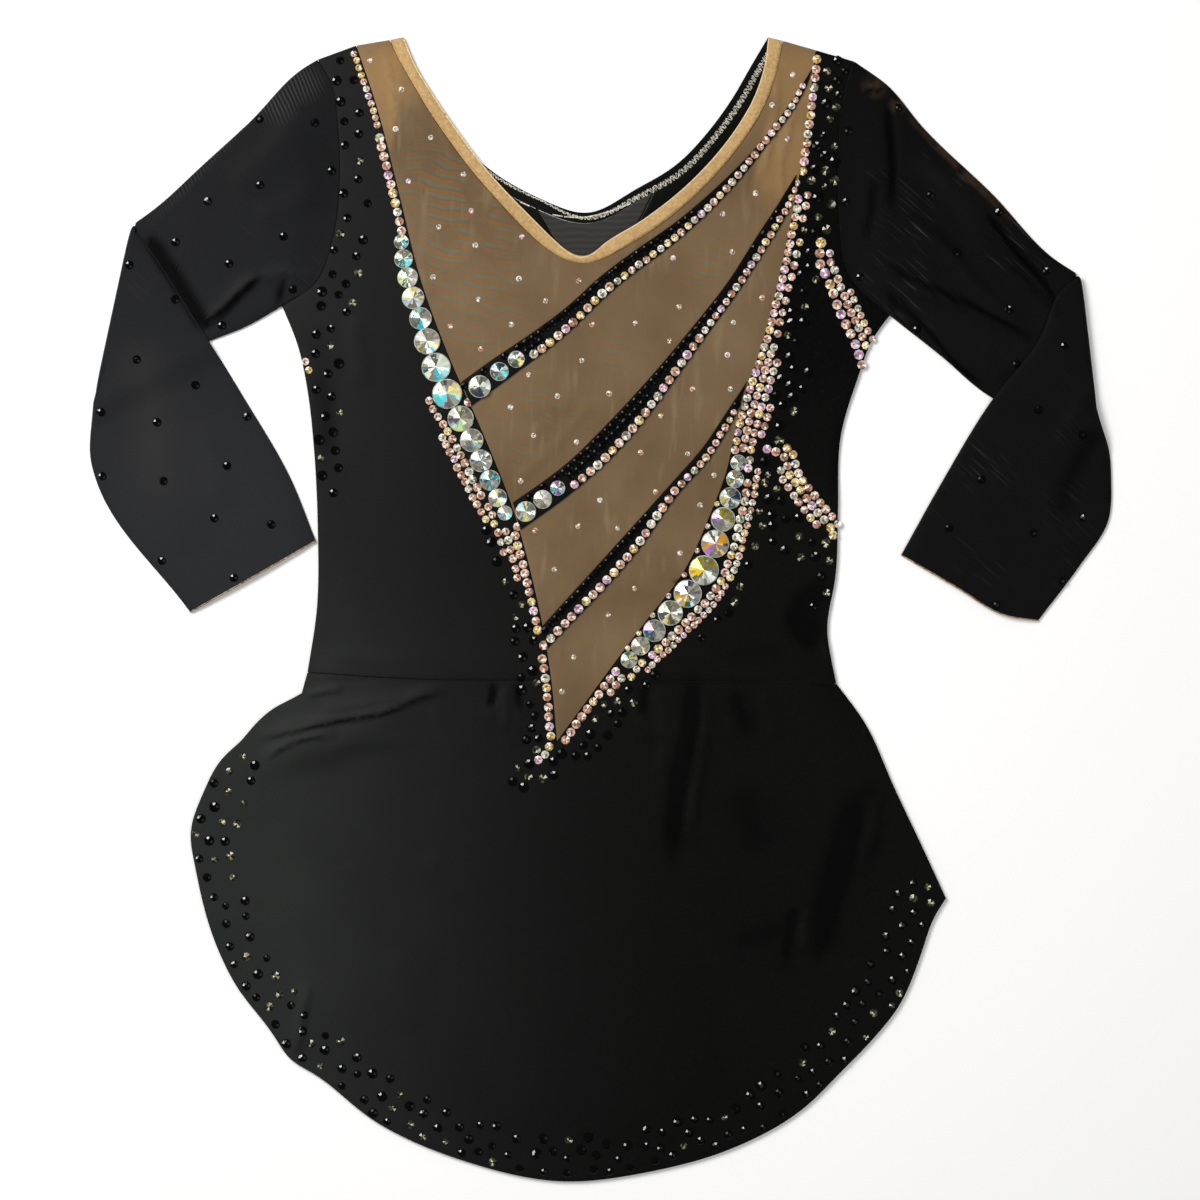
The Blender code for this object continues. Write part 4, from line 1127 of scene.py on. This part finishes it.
def setStone(into, shape, x, y, radius, tints, tall=1.0):
    height, normal = landing(clothSurface, x, y)
    if height is not None:
        if normal.z < setting["steepest"]:
            normal = Vector((0, 0, 1))  # at the step of a band's edge
        place = (x * mm, y * mm, height - setting["sunk"] * mm)
        addStone(into, shape, place, normal, radius, tints, tall, random.uniform(0, 2 * math.pi))
        placedStones.append((x, y, radius))


def joinedStones(name, node=None):
    batch = stoneSets[name]
    mesh = bpy.data.meshes.new(name)
    mesh.from_pydata(np.vstack(batch["points"]).tolist(), [], batch["faces"])
    mesh.materials.append(finishes[stoneFinish[name]])
    layer = mesh.color_attributes.new("facetTint", "FLOAT_COLOR", "CORNER")
    corners = []
    for polygon, tint in zip(mesh.polygons, batch["tints"]):
        corners += [*tint, 1.0] * polygon.loop_total
    layer.data.foreach_set("color", corners)
    attached(added(name, mesh), node)


def clearOf(x, y, radius, gap):
    if not placedStones:
        return True
    taken = np.array(placedStones)
    return bool((np.hypot(taken[:, 0] - x, taken[:, 1] - y) > taken[:, 2] + radius + gap).all())


# Seams and edges that the stones follow
vSeam = {
    "left": [(-130.5, 300.5), (-120, 269.5), (-107.5, 221), (-96, 175), (-80, 132), (-63.5, 95),
             (-48, 56.5), (-34.5, 7), (-26.5, -37.5), (-23.5, -70.5)],
    "right": [(114.5, 298), (107.5, 242), (99.5, 197), (88.5, 150), (73, 101), (66, 70), (59, 52),
              (45, 21), (25, -5), (-0.5, -39), (-23.5, -70.5)],
}
bandEdges = {
    "upper": {"high": [(-74.5, 121), (-59.5, 132), (-35, 148.5), (-16.5, 162.5), (-1.5, 176.5), (18.5, 191.5),
                       (39.5, 206), (59.5, 223), (76.5, 239.5), (90, 255), (101, 270), (113, 289)],
              "low": [(-69, 108), (-47.5, 124), (-22, 143), (8.5, 171.5), (39.5, 195), (59.5, 213),
                      (76.5, 231.5), (90, 249), (101, 263), (110, 279)],
              "large": [(-64.5, 118.5, 12), (-54, 126.5, 10), (-45, 133, 9)], "small": 0.41, "tip": 0.9},
    "middle": {"high": [(-47, 57), (-32.5, 67), (-18.5, 77.5), (-0.5, 95), (49.5, 151.5), (70, 178),
                        (79, 192.5), (86.3, 204), (95, 217), (100, 225.5), (104.3, 232)],
               "low": [(-43, 42), (-18.5, 59.5), (-0.5, 74.5), (59.5, 150), (75, 171.5), (90, 195),
                       (97.5, 207), (103.5, 219), (107, 228)],
               "large": [(-40, 52, 11), (-31, 58.5, 10), (-23, 64.5, 8)], "small": 0.6, "tip": 0.92},
    "lower": {"high": [(-31.5, -9), (21, 49), (43, 73.5), (54.5, 86.5), (64, 101), (78, 122)],
              "low": [(-28.5, -21), (21, 32.5), (43, 63.5), (56.5, 78), (65.5, 91.5), (73, 105)],
              "large": [], "small": 0.7, "tip": 0.95},
}
hemLine = [(-192.5, -71), (-202.5, -79), (-211.5, -96.5), (-219, -118), (-216, -139), (-205, -179.5),
           (-196.5, -197.5), (-174, -227.5), (-166, -240), (-153.5, -247), (-120.5, -273), (-71.5, -294.5),
           (-21.5, -305), (27.5, -299.5), (68.5, -288), (107, -267), (128, -246.5), (146, -228),
           (160, -210), (170.5, -184.5), (178.5, -162), (184, -154)]

# The graded rows of large sew-on stones
largeRows = {
    "stoneRowLeft": {"node": "stone_row_left", "seam": "left", "startY": 196.5, "side": -1, "palette": "teal",
                     "diameters": [8, 10, 11, 12, 12, 14, 15.5, 16, 14, 12.5, 12, 11, 10, 8]},
    "stoneRowRight": {"node": "stone_row_right", "seam": "right", "startY": 79, "side": 1, "palette": "gold",
                      "diameters": [8.5, 9.5, 11.5, 13, 15, 16, 15, 13.5, 12, 10, 9]},
}
largeStone = {
    "lap": 0.97, "fromSeam": 0.6, "tall": 0.92,  # lap: how far apart two are, as a share of touching
    "holePlace": 0.62, "holeSize": 0.62, "holeSunk": 0.2,  # the place is a share of the radius
}
clothSurface = surfaceOf(list(cloth))
bandSurface = surfaceOf(list(bandPieces))
blackSurface = surfaceOf(["frontLeftPanel", "frontRightPanel", "skirtFront"])


def rowPlaces(table):
    # each stone beside the seam and touching the one before
    seam = smoothCurve(vSeam[table["seam"]], 0.5)
    sideways = leftOf(seam) * table["side"]
    i = int(np.abs(seam[:, 1] - table["startY"]).argmin())
    places = []
    for diameter in table["diameters"]:
        out = diameter / 2 + largeStone["fromSeam"]
        centre = seam[i] + sideways[i] * out
        while places and np.linalg.norm(centre - places[-1][:2]) < largeStone["lap"] * (
                diameter + places[-1][2]) / 2:
            i += 1
            centre = seam[i] + sideways[i] * out
        places.append((*centre, diameter))
    return places


def holeTints(ring, angle):
    return shade("f3f1e8") if ring < 2 else shade("0b0b0c")


def setLarge(into, x, y, diameter, palette):
    radius, tall = diameter / 2, largeStone["tall"]
    setStone(into, "rivoli", x, y, radius, rivoliTints(palette), tall)
    height, normal = landing(clothSurface, x, y)
    turn, share = random.uniform(0, math.pi), largeStone["holePlace"]
    # the sew holes lie on the kites, which rise towards the middle
    _, rim, ((edgeRise, edge), (kiteRise, middle)), _ = stoneCuts["rivoli"]
    rise = rim + edgeRise + kiteRise * (edge - share) / (edge - middle)
    up = rise * radius * tall - largeStone["holeSunk"]
    for way in (-1, 1):
        out = share * radius * way
        offset = Vector((math.cos(turn) * out, math.sin(turn) * out, up)) * mm
        offset.rotate(Vector((0, 0, 1)).rotation_difference(normal))
        place = Vector((x * mm, y * mm, height)) + offset
        addStone(into, "hole", place, normal, largeStone["holeSize"], holeTints)


for name, table in largeRows.items():
    for x, y, diameter in rowPlaces(table):
        setLarge(name, x, y, diameter, table["palette"])
    joinedStones(name, table["node"])
for table in bandEdges.values():
    for x, y, diameter in table["large"]:
        setLarge("bandLargeStones", x, y, diameter, "mixed")
joinedStones("bandLargeStones")
print("the large stones are set")


def spacedRow(line, offset, spacing, start=0.0, end=1.0, phase=0.0):
    # places along a line moved to its left, with their share of its length
    path = smoothCurve(line, 0.7)
    path = path + leftOf(path) * offset
    along = lengthsAlong(path)
    spots = np.arange(start * along[-1] + phase * spacing, end * along[-1], spacing)
    return [(np.interp(s, along, path[:, 0]), np.interp(s, along, path[:, 1]), s / along[-1]) for s in spots]


def jittered(x, y, reach):
    return x + random.uniform(-reach, reach), y + random.uniform(-reach, reach)


def setRose(into, x, y, radius, overlap=0.75):
    # where the rows are close, the rims of two stones may overlap a little
    if clearOf(x, y, radius, -overlap):
        setStone(into, "chaton", x, y, radius, roseTints())


def roseRow(line, offset, spacing, radius, start=0.0, end=1.0, jitter=0.2, phase=0.0, into="roseEdgeStones"):
    for x, y, _ in spacedRow(line, offset, spacing, start, end, phase):
        size = radius * random.uniform(0.93, 1.05)
        setRose(into, *jittered(x, y, jitter), size)


# On each band, the stones get smaller towards its tip: distance from the edge, spacing, radius
bandRoses = [(2.6, 5.4, 2.45), (2.3, 4.75, 2.1), (2.0, 4.2, 1.8)]
for table in bandEdges.values():
    start = 0.0
    for (offset, spacing, radius), end in zip(bandRoses, (table["small"], table["tip"], 1.0)):
        roseRow(table["low"], offset, spacing, radius, start, end, into="roseBandStones")
        places = spacedRow(table["low"], offset, spacing, start, end)
        start = 2 * places[-1][2] - places[-2][2]
joinedStones("roseBandStones")

# Rows beside the seams: distance to the left, spacing, radius, start and end of the share, jitter, phase
seamRoses = {
    "left": [
        (-2.4, 4.0, 1.85, 0.0, 0.115), (-3.0, 5.1, 2.45, 0.118, 0.285), (-3.0, 5.15, 2.4, 0.685, 1.0),
        (-7.4, 5.1, 2.2, 0.67, 0.775, 0.3, 0.5), (-11.6, 5.0, 2.1, 0.665, 0.73, 0.4),
    ],
    "right": [
        (1.3, 5.0, 2.4, 0.0, 0.2), (1.6, 4.75, 2.3, 0.2, 0.57), (6.0, 6.4, 2.15, 0.19, 0.40, 0.6),
        (6.0, 4.75, 2.3, 0.40, 0.575, 0.3, 0.5), (10.3, 4.85, 2.25, 0.415, 0.56, 0.4),
        (14.3, 5.0, 2.2, 0.455, 0.52, 0.5, 0.5), (3.0, 5.0, 2.45, 0.755, 1.0),
        (7.5, 4.9, 2.2, 0.755, 0.91, 0.3, 0.5), (11.6, 4.9, 2.1, 0.85, 0.885, 0.3),
    ],
}
for side, rows in seamRoses.items():
    for row in rows:
        roseRow(vSeam[side], *row)
roseRow([(-27.5, -73), (-29.5, -77), (-33.5, -80)], 0, 4.6, 2.3)  # below the point of the V


def onSeam(table, x, y):
    # the nearest place on the seam of a row of large stones, and the way from there to the row
    seam = smoothCurve(vSeam[table["seam"]], 0.5)
    i = int(np.hypot(seam[:, 0] - x, seam[:, 1] - y).argmin())
    return seam[i], leftOf(seam)[i] * table["side"]


def besideRow(name, gap, radius, start=0.0, end=1.0, phase=0.0):
    # small stones that follow the outer side of a row of large ones
    table = largeRows[name]
    outer = [np.array((x, y)) + onSeam(table, x, y)[1] * (diameter / 2 + gap)
             for x, y, diameter in rowPlaces(table)]
    for x, y, _ in spacedRow(outer, 0, 2 * radius + 0.2, start, end, phase):
        x, y = jittered(x, y, 0.3)
        setRose("roseEdgeStones", x, y, radius * random.uniform(0.92, 1.06))


def betweenLarge(name, radius, first, last):
    # tiny stones on the seam, where two large ones meet
    table = largeRows[name]
    places = rowPlaces(table)
    for (x, y, a), (u, v, b) in list(zip(places, places[1:]))[first:last]:
        seamPlace, inward = onSeam(table, *(np.array((x * b + u * a, y * b + v * a)) / (a + b)))
        setRose("roseEdgeStones", *(seamPlace + inward * 0.9), radius, 0.9)


besideRow("stoneRowRight", 2.5, 2.35)
besideRow("stoneRowRight", 6.6, 2.0, 0.0, 0.5, 0.5)
besideRow("stoneRowRight", 6.6, 1.8, 0.5, 1.0, 0.5)
besideRow("stoneRowLeft", 2.4, 2.3, 0.55)
besideRow("stoneRowLeft", 6.8, 2.15, 0.67, 1.0, 0.5)
betweenLarge("stoneRowRight", 1.5, 2, 10)

# The two branches on the right: columns of stones, each as its distance, spacing, radius and share
roseBranches = [
    {"line": [(117.3, 195.6), (116.8, 185.4), (121.3, 174.2), (126, 162), (131, 150.7), (135.8, 140.5),
              (139.5, 128)],
     "columns": [(0, 5.8, 2.75, 0.0, 1.0), (5.2, 4.8, 2.25, 0.08, 0.93), (9.3, 4.5, 2.0, 0.40, 0.86)]},
    {"line": [(88.5, 85), (96.5, 82), (101.5, 70), (108, 61), (115.5, 51), (123, 42), (125, 34.5)],
     "columns": [(0, 5.0, 2.35, 0.0, 1.0), (4.6, 4.9, 2.3, 0.14, 0.93), (-4.5, 5.0, 2.25, 0.2, 0.86)]},
]
for branch in roseBranches:
    for offset, spacing, radius, start, end in branch["columns"]:
        roseRow(branch["line"], offset, spacing, radius, start, end, 0.35)
roseRow([(-159.5, 131), (-156.5, 123)], 2.4, 4.6, 2.0)  # under the left arm
joinedStones("roseEdgeStones")
print("the rose stones are set")

# Jet and smoky stones, scattered evenly in strips: the line, the nearest and farthest distance to its left,
# the share of the line, the spacing, the share of smoky stones, and the smallest and largest radius
left, right = vSeam["left"], vSeam["right"]
jetStrips = [
    ([(-134, 296), (-134, 200), (-139, 172), (-146, 150), (-148, 110), (-147, 58)],
     (-9, 9), (0.0, 0.56), 8.8, 0.28, (2.2, 2.9)),
    ([(-140, 172), (-146, 150), (-148, 110), (-149, 58)], (-9, 9), (0.0, 1.0), 7.8, 0.28, (2.2, 3.0)),
    (left, (-17, -6), (0.66, 1.0), 6.2, 0.25, (2.2, 3.0)),
    ([(-23.5, -70.5), (-32, -84), (-46, -93)], (-8, 8), (0.0, 1.0), 5.8, 0.3, (2.3, 3.2)),
    (right, (7, 22), (0.74, 1.0), 6.0, 0.3, (2.2, 3.1)),
    (right, (20, 32), (0.56, 0.78), 6.6, 0.35, (2.2, 3.1)),
    (right, (14, 28), (0.40, 0.56), 6.0, 0.25, (2.4, 3.3)),
    (right, (6, 20), (0.01, 0.42), 6.0, 0.34, (2.2, 3.3)),
    ([(84, 78), (94, 52), (104, 38), (124, 26)], (-12, 10), (0.0, 1.0), 7.0, 0.35, (2.2, 3.2)),
    ([(123, 34), (123, 8), (121, -8)], (-9, 0), (0.0, 1.0), 9, 0.4, (2.0, 2.6)),
    (hemLine, (3, 24), (0.0, 1.0), 7.6, 0.27, (2.0, 2.9)),
]


scatter = {
    "smokySize": 0.82, "radius": 2.6, "gap": 0.3,  # a smoky stone is smaller than a jet one beside it
    "bodyStep": 0.1, "pieceStep": 0.05,  # a step up to another piece, past which a place is covered
}


def jetOrSmoky(x, y, radius, smoky):
    if random.random() < smoky:
        setStone("smokyStones", "chaton", x, y, radius * scatter["smokySize"], smokyTints())
    else:
        setStone("jetStones", "jet", x, y, radius, jetTints())


def onBody(x, y, margin=2.0):
    # whether a stone there lies on the body or the skirt, and not on a sleeve or the mesh
    for a, b in ((0, 0), (margin, 0), (-margin, 0), (0, margin), (0, -margin)):
        highest, lowest = landing(clothSurface, x + a, y + b)[0], landing(blackSurface, x + a, y + b)[0]
        if highest is None or lowest is None or highest - lowest > scatter["bodyStep"] * mm:
            return False
    return True


def scatterStrip(line, across, span, spacing, smoky, sizes, tries=16):
    path = smoothCurve(line, 0.7)
    side, along = leftOf(path), lengthsAlong(path)
    first, last = (along[-1] * s for s in span)
    area = (last - first) * abs(across[1] - across[0])
    own = []
    for _ in range(int(tries * area / spacing ** 2)):
        i = min(int(np.searchsorted(along, random.uniform(first, last))), len(path) - 1)
        x, y = path[i] + side[i] * random.uniform(*across)
        alone = all(math.hypot(x - a, y - b) > spacing for a, b in own)
        if alone and clearOf(x, y, scatter["radius"], scatter["gap"]) and onBody(x, y):
            own.append((x, y))
            jetOrSmoky(x, y, random.uniform(*sizes), smoky)


# Three rows of jet on each band: distance from its upper edge, spacing, phase
bandJets = [(-2.6, 4.5, 0), (-6.4, 4.5, 0.5), (-10.2, 4.7, 0)]
for table in bandEdges.values():
    for offset, spacing, phase in bandJets:
        for x, y, _ in spacedRow(table["high"], offset, spacing, 0.0, 0.99, phase):
            x, y = jittered(x, y, 0.25)
            if clearOf(x, y, 2.2, -0.8) and landing(bandSurface, x, y)[0] is not None:
                setStone("jetStones", "jet", x, y, random.uniform(2.1, 2.35), jetTints(0.35, "3c3f41"))
for strip in jetStrips:
    scatterStrip(*strip)
print("the jet stones are scattered")


def scatterOver(name, spacing, place, tries, margin=3):
    # stones over a whole piece, where no other piece covers it and its edge isn't near
    surface = surfaceOf([name])
    corners = np.array([v.co for v in cloth[name].data.vertices])[:, :2] / mm
    low, high = corners.min(axis=0), corners.max(axis=0)
    ways = [(margin, 0), (-margin, 0), (0, margin), (0, -margin)]
    own = []
    for _ in range(tries):
        x, y = random.uniform(low[0], high[0]), random.uniform(low[1], high[1])
        if any(math.hypot(x - a, y - b) < spacing for a, b in own) or not clearOf(x, y, 3, 2.0):
            continue
        height, highest = landing(surface, x, y)[0], landing(clothSurface, x, y)[0]
        inside = all(landing(surface, x + a, y + b)[0] is not None for a, b in ways)
        if height is not None and inside and abs(height - highest) < scatter["pieceStep"] * mm:
            own.append((x, y))
            place(x, y)


def setSleeveStone(x, y):
    setStone("sleeveStones", "jet", x, y, 2.4, jetTints())


def setMeshStone(x, y):
    radius = random.uniform(1.4, 1.65)
    setStone("meshStones", "chaton", x, y, radius, roseTints(random.choice([0, 0, 2, 2, 2, 3])))


scatterOver("sleeveLeft", 27, setSleeveStone, 900)
scatterOver("sleeveRight", 27, setSleeveStone, 900)
scatterOver("frontMeshInset", 17.5, setMeshStone, 2500)
for name in ("jetStones", "smokyStones", "sleeveStones", "meshStones"):
    joinedStones(name)
print("the stones are all set")

# Sewing: the cover stitch of the back neck, and the line of stitches in the binding

backNeck = [(-105, 305), (-88, 265.5), (-58.5, 234), (-32, 219), (-8, 211), (19, 224.5), (39.5, 236.5),
            (56.5, 254), (70, 272.5), (80, 290), (89, 305)]
stitches = {
    # at shares of the length: distance from the neck edge, and how wide the stitch is
    "neckLoops": {"shares": (0.1, 0.42, 0.62), "from": (1.0, 0.5, 3.3), "wide": (2.6, 0.7, 3.0),
                  "pitches": (1.5, 3.45), "lifts": (0.2, 0.35), "thick": 0.2},
    "neckDashes": {"offset": 0.0, "long": 5.4, "gap": 0.8, "thick": 0.34},
    "bindingStitch": {"offset": 1.1, "long": 1.9, "gap": 0.9, "thick": 0.14},
    # each dash starts and ends a little below the cloth: shares of its length, and heights
    "dash": {0: -0.05, 0.15: 0.16, 0.5: 0.16, 0.85: 0.16, 1: -0.05},
}


def threadTube(name, strands, radius, finish, slot):
    line = bpy.data.curves.new(name, "CURVE")
    line.dimensions = "3D"
    line.bevel_depth = radius * mm
    line.bevel_resolution = 1
    line.use_fill_caps = True
    for strand in strands:
        spline = line.splines.new("POLY")
        spline.points.add(len(strand) - 1)
        for point, place in zip(spline.points, strand):
            point.co = (*place, 1)
    choose(added(name, line))
    bpy.ops.object.convert(target="MESH")
    thread = bpy.context.active_object
    thread.data.materials.append(finishes[finish])
    bpy.ops.object.shade_smooth_by_angle(angle=math.radians(60))
    deselectAll()
    attached(thread)


backSurface = surfaceOf(["backBodice", "backMeshPanel", "backNeckHem"])


def onSurface(surface, x, y, up):
    height, _ = landing(surface, x, y)
    return None if height is None else (x * mm, y * mm, height + up * mm)


def zigzag(table):
    # loops that swing between two lines below the neck edge, in two layers
    path = smoothCurve(backNeck, 0.3)
    side, along = leftOf(path), lengthsAlong(path)
    first, wide = (np.interp(along / along[-1], table["shares"], table[key]) for key in ("from", "wide"))
    strands = []
    for pitch, lift in zip(table["pitches"], table["lifts"]):
        strand = []
        for i, s in enumerate(along):
            beat = s / pitch + 0.35 * math.sin(s / 9) + 0.2 * math.sin(s / 2.3)  # no two loops are alike
            down = first[i] + wide[i] * (0.5 - 0.5 * math.cos(2 * math.pi * beat))
            place = onSurface(backSurface, *(path[i] - side[i] * down), lift)
            if place is not None:
                strand.append(place)
        strands.append(strand)
    return strands


def dashes(line, table, surface, direction):
    path = smoothCurve(line, 0.5)
    path = path + leftOf(path) * table["offset"] * direction
    along = lengthsAlong(path)
    strands = []
    start = 1.0
    while start + table["long"] < along[-1]:
        spots = [start + table["long"] * share for share in stitches["dash"]]
        strand = [onSurface(surface, np.interp(s, along, path[:, 0]), np.interp(s, along, path[:, 1]), up)
                  for s, up in zip(spots, stitches["dash"].values())]
        if None not in strand:
            strands.append(strand)
        start += table["long"] + table["gap"]
    return strands


frontNeckSeam = [
    (-112.5, 303.5), (-109.5, 296), (-95.5, 271.7), (-78.4, 246.1), (-57.6, 220.5), (-32.7, 194.9),
    (-24, 188.6), (-16, 185), (-7.5, 184), (0.5, 186.2), (16.5, 194.9), (43, 213.8), (68.3, 239.7),
    (85.8, 265.3), (94.9, 290.9), (97, 303),
]
frontNeckEdge = [
    (-104.6, 304), (-99.1, 290.9), (-87.5, 271.7), (-74.5, 252.5), (-59.9, 233.3), (-35.7, 207.7),
    (-22.6, 194.9), (-17.5, 190.6), (-12.3, 188.1), (-7.6, 188.2), (-4, 190), (1.1, 194.4),
    (22.4, 207.7), (46.6, 226.9), (69.3, 252.5), (83.6, 278.1), (87.3, 290.9), (88.9, 304),
]
blackSeams = [
    [(-155.5, -33.6), (-96.5, -37), (-26.5, -37.5)], [(-0.5, -39), (63.5, -38.5), (124.5, -39.5)],
    armhole["left"], armhole["right"],
]


def alongSeam(line, surface, inward, up, reach):
    # a cord beside a line, as high as the higher of the pieces that meet there
    path = smoothCurve(line, 1.2)
    side = leftOf(path)
    strand = []
    for place, across in zip(path - side * inward, side):
        heights = [landing(surface, *(place + across * way))[0] for way in (-reach, 0, reach)]
        if any(height is not None for height in heights):
            strand.append((*(place * mm), max(height for height in heights if height is not None) + up * mm))
    return strand


backSeams = [[(-36, 216.5), (-26.5, 199.7), (-19, 186.5)], [(29, 225), (22, 211), (13.5, 193.5)]]
lowStitch = [(-44, 217.6), (-31.4, 212.3), (-25, 210.3), (-19, 209.3), (-11.4, 208.9), (-4.9, 209.6),
             (0.3, 210.9), (5.4, 212.4), (11.9, 214.8), (21, 218.1)]
bindingSurface = surfaceOf(["frontNeckBinding"])
threads = {
    # the strands, their radius, the finish and the slot
    "backSeamThreads": ([alongSeam(line, backSurface, 0.0, -0.1, 0.9) for line in backSeams],
                        0.36, "blackThread", "thread"),
    "neckLoops": (zigzag(stitches["neckLoops"]), stitches["neckLoops"]["thick"], "creamThread", "thread"),
    "neckDashes": (dashes(lowStitch, stitches["neckDashes"], backSurface, -1),
                   stitches["neckDashes"]["thick"], "creamThread", "thread"),
    "bindingStitch": (dashes(frontNeckSeam, stitches["bindingStitch"], bindingSurface, 1),
                      stitches["bindingStitch"]["thick"], "bindingThread", "thread"),
    # the rolled inner edge of the binding, paler than the binding as a painted highlight
    "bindingRollHighlight": ([alongSeam(frontNeckEdge, bindingSurface, 0.55, -0.15, 0.3)],
                    0.4, "bindingRollHighlight", "binding"),
    "seamThreads": ([alongSeam(line, clothSurface, 0.0, -0.2, 0.8) for line in blackSeams],
                    0.34, "blackThread", "thread"),
    # the raw edge of each cuff
    "cuffEdgeLeft": ([cuffEdges["sleeveLeft"] + cuffEdges["sleeveLeft"][:1]], 0.32, "tanThread", "thread"),
    "cuffEdgeRight": ([cuffEdges["sleeveRight"] + cuffEdges["sleeveRight"][:1]], 0.32, "tanThread", "thread"),
}
for name, thread in threads.items():
    threadTube(name, *thread)
print("the sewing is done")
